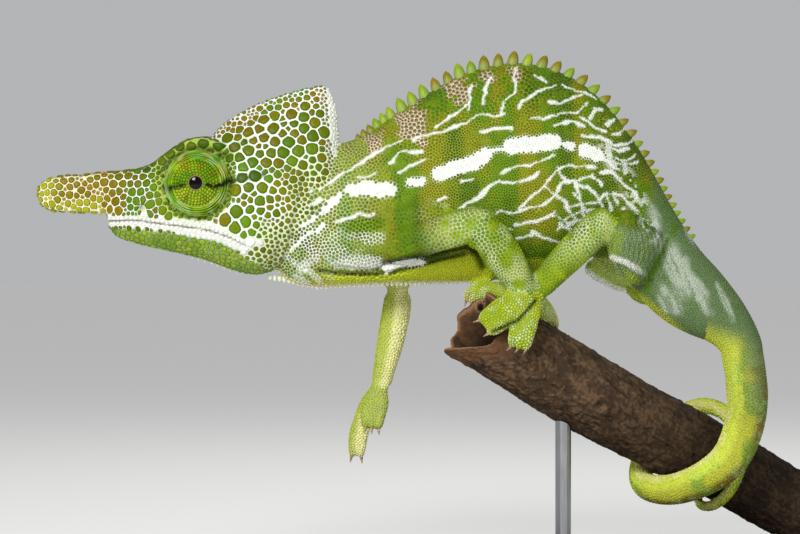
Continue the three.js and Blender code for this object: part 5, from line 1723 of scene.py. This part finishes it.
rims = [lid_folds("lid_folds_left", -1), lid_folds("lid_folds_right", 1)]
print("folds on each turret", len(FOLDS))

# %% [markdown]
# ## The dead branch
# The bark is a surface in two parameters, the turn round the branch and the distance along it. Its radius
# adds up a gentle taper, broad lumps, long cracks and small knots. At the broken end the surface rolls over
# a ragged rim and runs back into the rotted core, so rim, wall and core are one closed sheet.

# %% The branch's radius and its broken rim
def perch_radius(turn, along):
    """Base radius plus taper, swelling, wear under the broken end and slow lumps round the branch."""
    taper = -0.011 * (along - 40)
    swell = 0.55 * bell(along - 34, 26)
    worn = -2 * np.maximum(0, -np.cos(turn)) * bell(along + 8, 16)
    lumps = 0.28 * np.sin(3 * turn + along / 9) + 0.22 * np.sin(2 * turn - along / 14 + 1)
    return 9.6 + taper + swell + worn + lumps


def rim_reach(turn):
    """How far the broken rim stands out beyond its mean line: a lip below, a notch in front, and small
    teeth."""
    degrees = np.degrees(turn) % 360
    lip = 5 * bell(degrees - 158, 24)
    notch = -5.2 * bell(degrees - 78, 30)
    return lip + notch + 0.5 * np.sin(5 * turn + 0.6) + 0.4 * np.sin(9 * turn)


BARK_AROUND, BARK_ALONG = 224, 330
RIM_AT, SAWN_AT = -9, 104  # distance along the branch of the broken rim's mean line and of the sawn end
turn = full_turn(BARK_AROUND)[None, :]
rim_line = around_perch(turn[0], 9.0, RIM_AT)
teeth = 0.5 * mottle(rim_line, 1.1, 3.0) + 0.35 * mottle(rim_line, 0.5)
broken = RIM_AT - rim_reach(turn) + teeth[None] - 0.4
share = np.linspace(0, 1, BARK_ALONG)[:, None] ** 1.15
along = broken + share * (SAWN_AT - broken)
radius = perch_radius(turn, along)
print("branch radius from", round(radius.min(), 2), "to", round(radius.max(), 2), "mm")

# %% [markdown]
# Weathered bark has fibres along the branch, raised plates, long cracks, small pits and a few knots. All but
# the knots are noise on the branch unrolled at a radius of 9, drawn out along it.

# %% Fibres, plates, cracks, pits and knots
wound = np.stack([np.cos(turn) * 9 + 0 * along, np.sin(turn) * 9 + 0 * along, along], -1).reshape(-1, 3)
fibres = mottle(wound * [1, 1, 0.35], 1.0, 4.0) + 0.9 * mottle(wound * [1, 1, 0.7], 0.62, 1.0)
plates = mottle(wound * [1, 1, 0.5], 3.0, 8.0)
cracks = bell(mottle(wound * [1, 1, 0.22], 2.6, 6.0) - 0.5, 0.03) * (plates > 0.45)
pits = clouds(wound, 1.2, 9.0, 0.7, 0.84)
grain = (0.42 * (fibres - 0.95) + 0.28 * (plates - 0.6) - 0.25 * cracks - 0.3 * pits).reshape(radius.shape)
KNOTS = [  # turn, distance along, size and height
    (1.1, 1.2, 2.2, 0.9),
    (1.9, 27, 2.6, 0.8),
    (2.9, 52, 3, 0.9),
    (0.9, 74, 2.4, 0.8),
    (4.2, 20, 3, 0.9),
    (5.2, 60, 3, 0.8),
]
for knot_turn, knot_along, knot_size, knot_tall in KNOTS:
    aside = 9.5 * (np.mod(turn - knot_turn + np.pi, TURN) - np.pi)
    away = np.hypot(aside, along - knot_along) / knot_size
    grain += knot_tall * (0.8 * bell(away - 0.75, 0.35) - 1.1 * bell(away, 0.45))
radius = radius - 0.1 + grain * (0.45 + 0.55 * soft_step(along - broken, 0.0, 1.5))
outer = around_perch(turn, radius, along)
print("bark relief from", round(grain.min(), 2), "to", round(grain.max(), 2), "mm")

# %% [markdown]
# The core has rotted out of the broken end, which leaves a ragged hole that narrows inwards. The other end is
# cut straight, as a museum would cut it.

# %% The hollow end, the sawn end and the whole branch
WALL_ROWS = 60
wall_along = np.linspace(-9.5, 15, WALL_ROWS)[:, None]
wall = np.stack(np.broadcast_arrays(np.cos(turn) * 6, np.sin(turn) * 6, wall_along * 0.25), -1)
ragged = 0.5 * (mottle(wall.reshape(-1, 3), 0.9, 2.0) - 0.5).reshape(WALL_ROWS, -1)
depths = [-8, -4, 0, 5, 9, 12.5, 15]
shares = [1.14, 1.12, 1.06, 0.98, 0.84, 0.56, 0.1]
hole_radius = 7.2 * np.interp(wall_along, depths, shares) * (1 + 0.12 * np.sin(3 * turn + 1)) + ragged
core_along = np.maximum(RIM_AT + wall_along, broken + 0.35)
core = around_perch(turn, np.minimum(hole_radius, radius[0] - 0.9), core_along)[::-1]
rim_ring = (outer[:1] + core[-1:]) / 2 - PERCH_ALONG * 0.35
sawn = around_perch(turn, radius[-1] * np.array([0.985, 0.93, 0.8, 0.6, 0.35, 0.1])[:, None], SAWN_AT)
perch = grid_object("branch_bark", [np.concatenate([core, rim_ring, outer, sawn])])
print("branch points", len(perch.data.vertices))

# %% [markdown]
# The bark is tan where its fibres stand out and umber between them, darker in cracks and pits, with fresh,
# rusty wood near the broken rim, and it is darkened towards its far end as painted shade. The core darkens
# with depth as painted shade, a painted dark hole ringed by fresh wood shows in its rear wall, and the sawn
# end shows rings of age.

# %% Colours of the branch
TAN = paint(104, 82, 60)
RUST = paint(108, 76, 50)
BARK = paint(70, 53, 38)
NEAR_BLACK = paint(18, 13, 9)
FRESH = paint(150, 112, 80)
flat_bark = outer.reshape(-1, 3)
light = 0.6 * fibres + 0.7 * mottle(flat_bark, 4.0, 3.0) + 1.1 * (mottle(flat_bark, 0.5, 8.0) - 0.5)
light = soft_step(light, 0.6, 1.5)
bark_colour = mixed(BARK * 0.85, TAN, light)
# painted shade: the bark darkens farther along the branch, as the light falls off
bark_colour = bark_colour * (1 - 0.55 * soft_step(along.ravel(), 20, 75))[:, None]
bark_colour = mixed(bark_colour, NEAR_BLACK, 0.4 * cracks + 0.3 * pits)
bark_colour = mixed(bark_colour, RUST, 0.8 * (1 - soft_step((along - broken).ravel(), 2, 9)))
inside = core.reshape(-1, 3)
core_colour = mixed(RUST, BARK, mottle(inside, 0.9, 5.0))
# painted shade: the core darkens deeper into the hollow
core_colour = mixed(core_colour, NEAR_BLACK, soft_step(core_along[::-1].ravel(), -8, 1))
# painted shade: a dark hole in the core's rear wall, ringed by fresh wood
hole_reach = reach_from(inside, (20.0, -10.0)) + 0.5 * (mottle(inside, 0.7, 3.0) - 0.5)
rear_wall = inside[:, 1] > -7.5
core_colour = mixed(core_colour, FRESH, 0.7 * bell(hole_reach - 1.2, 0.35) * rear_wall)
core_colour = mixed(core_colour, NEAR_BLACK, (1 - soft_step(hole_reach, 0.7, 1.0)) * rear_wall)
from_axis = np.linalg.norm(np.cross(sawn.reshape(-1, 3) - PERCH_ORIGIN, PERCH_ALONG), axis=1)
sawn_colour = mixed(paint(176, 146, 106), TAN, 0.5 + 0.5 * np.sin(from_axis * 7))
rim_rows = np.tile(FRESH, (BARK_AROUND, 1))
colour_layer(perch, np.concatenate([core_colour, rim_rows, bark_colour, sawn_colour, [NEAR_BLACK], [TAN]]))
print("bark's mean colour", np.round(bark_colour.mean(0), 3).tolist())

# %% [markdown]
# ## The stand
# A plain dark base with rounded corners and two short steel rods. The base is a rounded rectangle whose
# outline shrinks a little at its top and bottom edges, so light catches the edges.

# %% Stand base
def base_piece():
    """The outline is a rectangle with quarter circles for corners; rings at different heights carry it in
    by the bevel's circle, and the top and bottom close inwards."""
    low, high = (np.array(corner) * 1000 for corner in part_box("stand_base"))
    half = (high - low)[:2] / 2
    corner, bevel = 20.0, 1.2
    quarter = np.linspace(0, np.pi / 2, 17)
    turns = np.concatenate([quarter + k * np.pi / 2 for k in range(4)])
    sign = np.repeat(np.array([[1, 1], [-1, 1], [-1, -1], [1, -1]]), 17, axis=0)
    bend = np.linspace(0, np.pi / 2, 7)
    inset = np.concatenate([[40], bevel * (1 - np.sin(bend)), bevel * (1 - np.cos(bend)), [40]])
    height = np.concatenate([[low[2]], low[2] + bevel * (1 - np.cos(bend)),
                             high[2] - bevel * (1 - np.sin(bend)), [high[2]]])
    reach = np.maximum(corner - inset, 0.5)[:, None, None]
    centre = sign[None] * (half - corner - np.maximum(inset - corner, 0)[:, None])[:, None]
    ring = centre + reach * np.stack([np.cos(turns), np.sin(turns)], -1)[None]
    middle = (low + high)[:2] / 2
    grid = np.concatenate([ring + middle, np.broadcast_to(height[:, None, None], ring.shape[:2] + (1,))], -1)
    return grid_object("stand_plate", [grid - ANIMAL_AT])


base = base_piece()
print("base points", len(base.data.vertices))

# %% [markdown]
# ## Materials
# Skin and scales read their colour from the tint stored at each point, and add a fine grain and a soft
# sheen. Gloss differs: eyes are wet, claws are horn, bark is dull, the rods are brushed metal and the base
# is oiled wood.

# %% Node helpers
def new_material(name, roughness, metallic=0.0, specular=0.5):
    """A material with its Principled shader, whose plain numbers are set on the shader's own sockets."""
    material = bpy.data.materials.new(name)
    material.use_nodes = True
    shader = material.node_tree.nodes["Principled BSDF"]
    shader.inputs["Roughness"].default_value = roughness
    shader.inputs["Metallic"].default_value = metallic
    shader.inputs["Specular IOR Level"].default_value = specular
    return material, material.node_tree, shader


def noise_node(tree, size, detail=4.0, stretch=(1, 1, 1)):
    """Noise on object coordinates, with features about size metres across."""
    place = tree.nodes.new("ShaderNodeTexCoord")
    turn_it = tree.nodes.new("ShaderNodeMapping")
    turn_it.inputs["Scale"].default_value = stretch
    noise = tree.nodes.new("ShaderNodeTexNoise")
    noise.inputs["Scale"].default_value = 1 / size
    noise.inputs["Detail"].default_value = detail
    tree.links.new(place.outputs["Object"], turn_it.inputs["Vector"])
    tree.links.new(turn_it.outputs["Vector"], noise.inputs["Vector"])
    return noise


def add_bump(tree, shader, height, depth):
    """Bump of that many metres from a height between 0 and 1."""
    bump = tree.nodes.new("ShaderNodeBump")
    bump.inputs["Distance"].default_value = depth
    bump.inputs["Strength"].default_value = 1.0
    tree.links.new(height, bump.inputs["Height"])
    tree.links.new(bump.outputs["Normal"], shader.inputs["Normal"])


def span_node(tree, value, low, high):
    """A value from 0 to 1 stretched between low and high."""
    node = tree.nodes.new("ShaderNodeMapRange")
    node.inputs["To Min"].default_value = low
    node.inputs["To Max"].default_value = high
    tree.links.new(value, node.inputs["Value"])
    return node.outputs["Result"]


def tinted(name, roughness, grain, depth, vary=0.12, specular=0.5):
    """Colour from the stored tint, made a little lighter and darker by noise, which also moves gloss and
    bump."""
    material, tree, shader = new_material(name, roughness, specular=specular)
    tint = tree.nodes.new("ShaderNodeAttribute")
    tint.attribute_name = "tint"
    height = noise_node(tree, grain).outputs["Fac"]
    tone = tree.nodes.new("ShaderNodeHueSaturation")
    tree.links.new(tint.outputs["Color"], tone.inputs["Color"])
    tree.links.new(span_node(tree, height, 1 - vary, 1 + vary), tone.inputs["Value"])
    tree.links.new(tone.outputs["Color"], shader.inputs["Base Color"])
    sway = min(0.08, 0.3 * roughness)
    gloss = span_node(tree, height, roughness - sway, roughness + sway)
    tree.links.new(gloss, shader.inputs["Roughness"])
    add_bump(tree, shader, height, depth)
    return material


# %% Finishes of the animal and the branch
skin_finish = tinted("skin_finish", 0.55, 0.0004, 0.00006, specular=0.08)
scale_finish = tinted("scale_finish", 0.36, 0.0005, 0.00004, specular=0.1)
cone_finish = tinted("cone_finish", 0.4, 0.0006, 0.00006, specular=0.18)
eye_finish = tinted("eye_finish", 0.06, 0.002, 0.000004, vary=0.02, specular=0.16)
bark_finish = tinted("bark_finish", 0.88, 0.0005, 0.00022, vary=0.4, specular=0.2)
WORN = [(skin_finish, [skin]), (scale_finish, coat + rims), (cone_finish, [crest, fringe])]
WORN += [(eye_finish, eyes), (bark_finish, [perch])]
for finish, things in WORN:
    for thing in things:
        thing.data.materials.append(finish)
print("pieces with a tint", sum(len(things) for _, things in WORN))

# %% Horn, oiled wood and brushed steel
def streaked(name, roughness, noise, ends, dark, pale, depth, gloss=None, metallic=0.0):
    """Noise between two ends mixes a dark colour into a pale one and makes a bump of that depth; where
    gloss is given, the same noise moves the roughness between its two values."""
    material, tree, shader = new_material(name, roughness, metallic=metallic)
    height = noise_node(tree, *noise).outputs["Fac"]
    ramp = tree.nodes.new("ShaderNodeValToRGB")
    for element, position, colour in zip(ramp.color_ramp.elements, ends, (dark, pale)):
        element.position, element.color = position, (*colour, 1)
    tree.links.new(height, ramp.inputs["Fac"])
    tree.links.new(ramp.outputs["Color"], shader.inputs["Base Color"])
    if gloss:
        tree.links.new(span_node(tree, height, *gloss), shader.inputs["Roughness"])
    add_bump(tree, shader, height, depth)
    return material


horn = streaked("claw_horn", 0.3, (0.0006, 3), (0.3, 0.75), paint(112, 84, 56), paint(206, 184, 142), 0.00004)
# The wood's grain runs along X, the polishing marks on the rods along Z.
along_x, along_z = (0.12, 1.6, 1.6), (1, 1, 0.05)
wood_noise, steel_noise = (0.004, 8, along_x), (0.0004, 3, along_z)
dark_wood, pale_wood = paint(30, 22, 17), paint(74, 55, 42)
dark_steel, pale_steel = paint(120, 122, 124), paint(176, 178, 180)
oiled_wood = streaked("oiled_wood", 0.42, wood_noise, (0.32, 0.7), dark_wood, pale_wood, 0.00015, (0.5, 0.34))
steel = streaked("brushed_steel", 0.3, steel_noise, (0, 1), dark_steel, pale_steel, 0.00002, (0.22, 0.4), 1.0)
claws.data.materials.append(horn)
base.data.materials.append(oiled_wood)
for name in ("stand_rod_1", "stand_rod_2"):
    nodes[name].data.materials.clear()
    nodes[name].data.materials.append(steel)
print("materials", sorted(material.name for material in bpy.data.materials))

# %% [markdown]
# ## Which piece stands for which solid
# The skin takes the place of every solid of flesh. Eyes, claws, branch and base each take the place of
# their own.

# %% Riding and replacing
claw_nodes = sorted(n for n in nodes if n.startswith("claw_"))
kept = {"stand_rod_1", "stand_rod_2", "stand_base", "perch", "eye_left", "eye_right"}
flesh = sorted(n for n in nodes if n not in kept and not n.startswith("claw_"))
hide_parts(*flesh)
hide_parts("eye_left")
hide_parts("eye_right")
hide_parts(*claw_nodes)
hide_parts("perch")
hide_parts("stand_base")
SLOTS = [(skin, "skin"), (crest, "skin"), (fringe, "skin"), (claws, "claw"), (perch, "branch"),
         (base, "stand_base")]
SLOTS += [(thing, "skin") for thing in coat + rims] + [(thing, "eye") for thing in eyes]
for thing, slot in SLOTS:
    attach(thing, "root")
print("flesh nodes", len(flesh), "claw nodes", len(claw_nodes))

# %% [markdown]
# ## Floor, light and camera
# A pale floor that reaches far back, one large soft light from the upper left in front, a weaker one from
# the right, and a thin one from behind that draws the crest's edge. The camera looks level, from the
# animal's left.

# %% Studio
def soft_light(name, place, aim, size, power):
    """A square area light at place, in metres, that points at aim."""
    data = bpy.data.lights.new(name, "AREA")
    data.size, data.energy = size, power
    lamp = linked(name, data)
    lamp.location = place
    away = np.array(place) - np.array(aim)
    lamp.rotation_mode = "QUATERNION"
    lamp.rotation_quaternion = Vector(away).to_track_quat("Z", "Y")
    return lamp


floor_mesh = bpy.data.meshes.new("floor")
wide = 12.0
corners = [(-wide, -wide, 0), (wide, -wide, 0), (wide, wide, 0), (-wide, wide, 0)]
floor_mesh.from_pydata(corners, [], [(0, 1, 2, 3)])
floor = linked("floor", floor_mesh)
SKY, AMBIENT = 0.46, 0.2  # the sky as seen, and as it lights; the floor glows by what it lacks of the sky
floor_finish, tree, shader = new_material("floor_finish", 0.8, specular=0.1)
shader.inputs["Emission Color"].default_value = (1, 1, 1, 1)
shader.inputs["Emission Strength"].default_value = SKY - 0.79 * AMBIENT
shader.inputs["Base Color"].default_value = (0.8, 0.79, 0.77, 1)
floor_mesh.materials.append(floor_finish)
print("floor", 2 * wide, "metres wide")

# %% [markdown]
# The lamps aim at the animal's middle. The sky is bright to the camera but lights only weakly, so that the
# lamps shape the scales.

# %% Lamps and sky
centre = (ANIMAL_AT + [0, 0, 10]) * 0.001
soft_light("key", (-0.28, -0.62, 0.4), centre, 0.18, 4.5)
soft_light("fill", (0.45, -0.6, 0.25), centre, 0.5, 0.8)
soft_light("edge", (0.1, 0.35, 0.55), centre, 0.35, 1.0)
world = bpy.data.worlds.new("studio")
world.use_nodes = True
sky = world.node_tree.nodes["Background"]
sky.inputs["Color"].default_value = (0.98, 1.0, 1.03, 1)
seen = world.node_tree.nodes.new("ShaderNodeLightPath")
strength = world.node_tree.nodes.new("ShaderNodeMapRange")
strength.inputs["To Min"].default_value, strength.inputs["To Max"].default_value = AMBIENT, SKY
world.node_tree.links.new(seen.outputs["Is Camera Ray"], strength.inputs["Value"])
world.node_tree.links.new(strength.outputs["Result"], sky.inputs["Strength"])
bpy.context.scene.world = world
bpy.context.scene.view_settings.view_transform = "Standard"

# %% [markdown]
# The camera has a long lens, so the animal's shape is drawn almost without perspective.

# %% Camera
camera_data = bpy.data.cameras.new("camera")
camera_data.lens, camera_data.sensor_width = 108, 36
camera_data.clip_start, camera_data.clip_end = 0.01, 50
camera = linked("camera", camera_data)
camera.location = (ANIMAL_AT + [0, -600, 0]) * 0.001
camera.rotation_euler = (np.pi / 2, 0, 0)
bpy.context.scene.camera = camera
print("camera at", np.round(camera.location, 3).tolist())
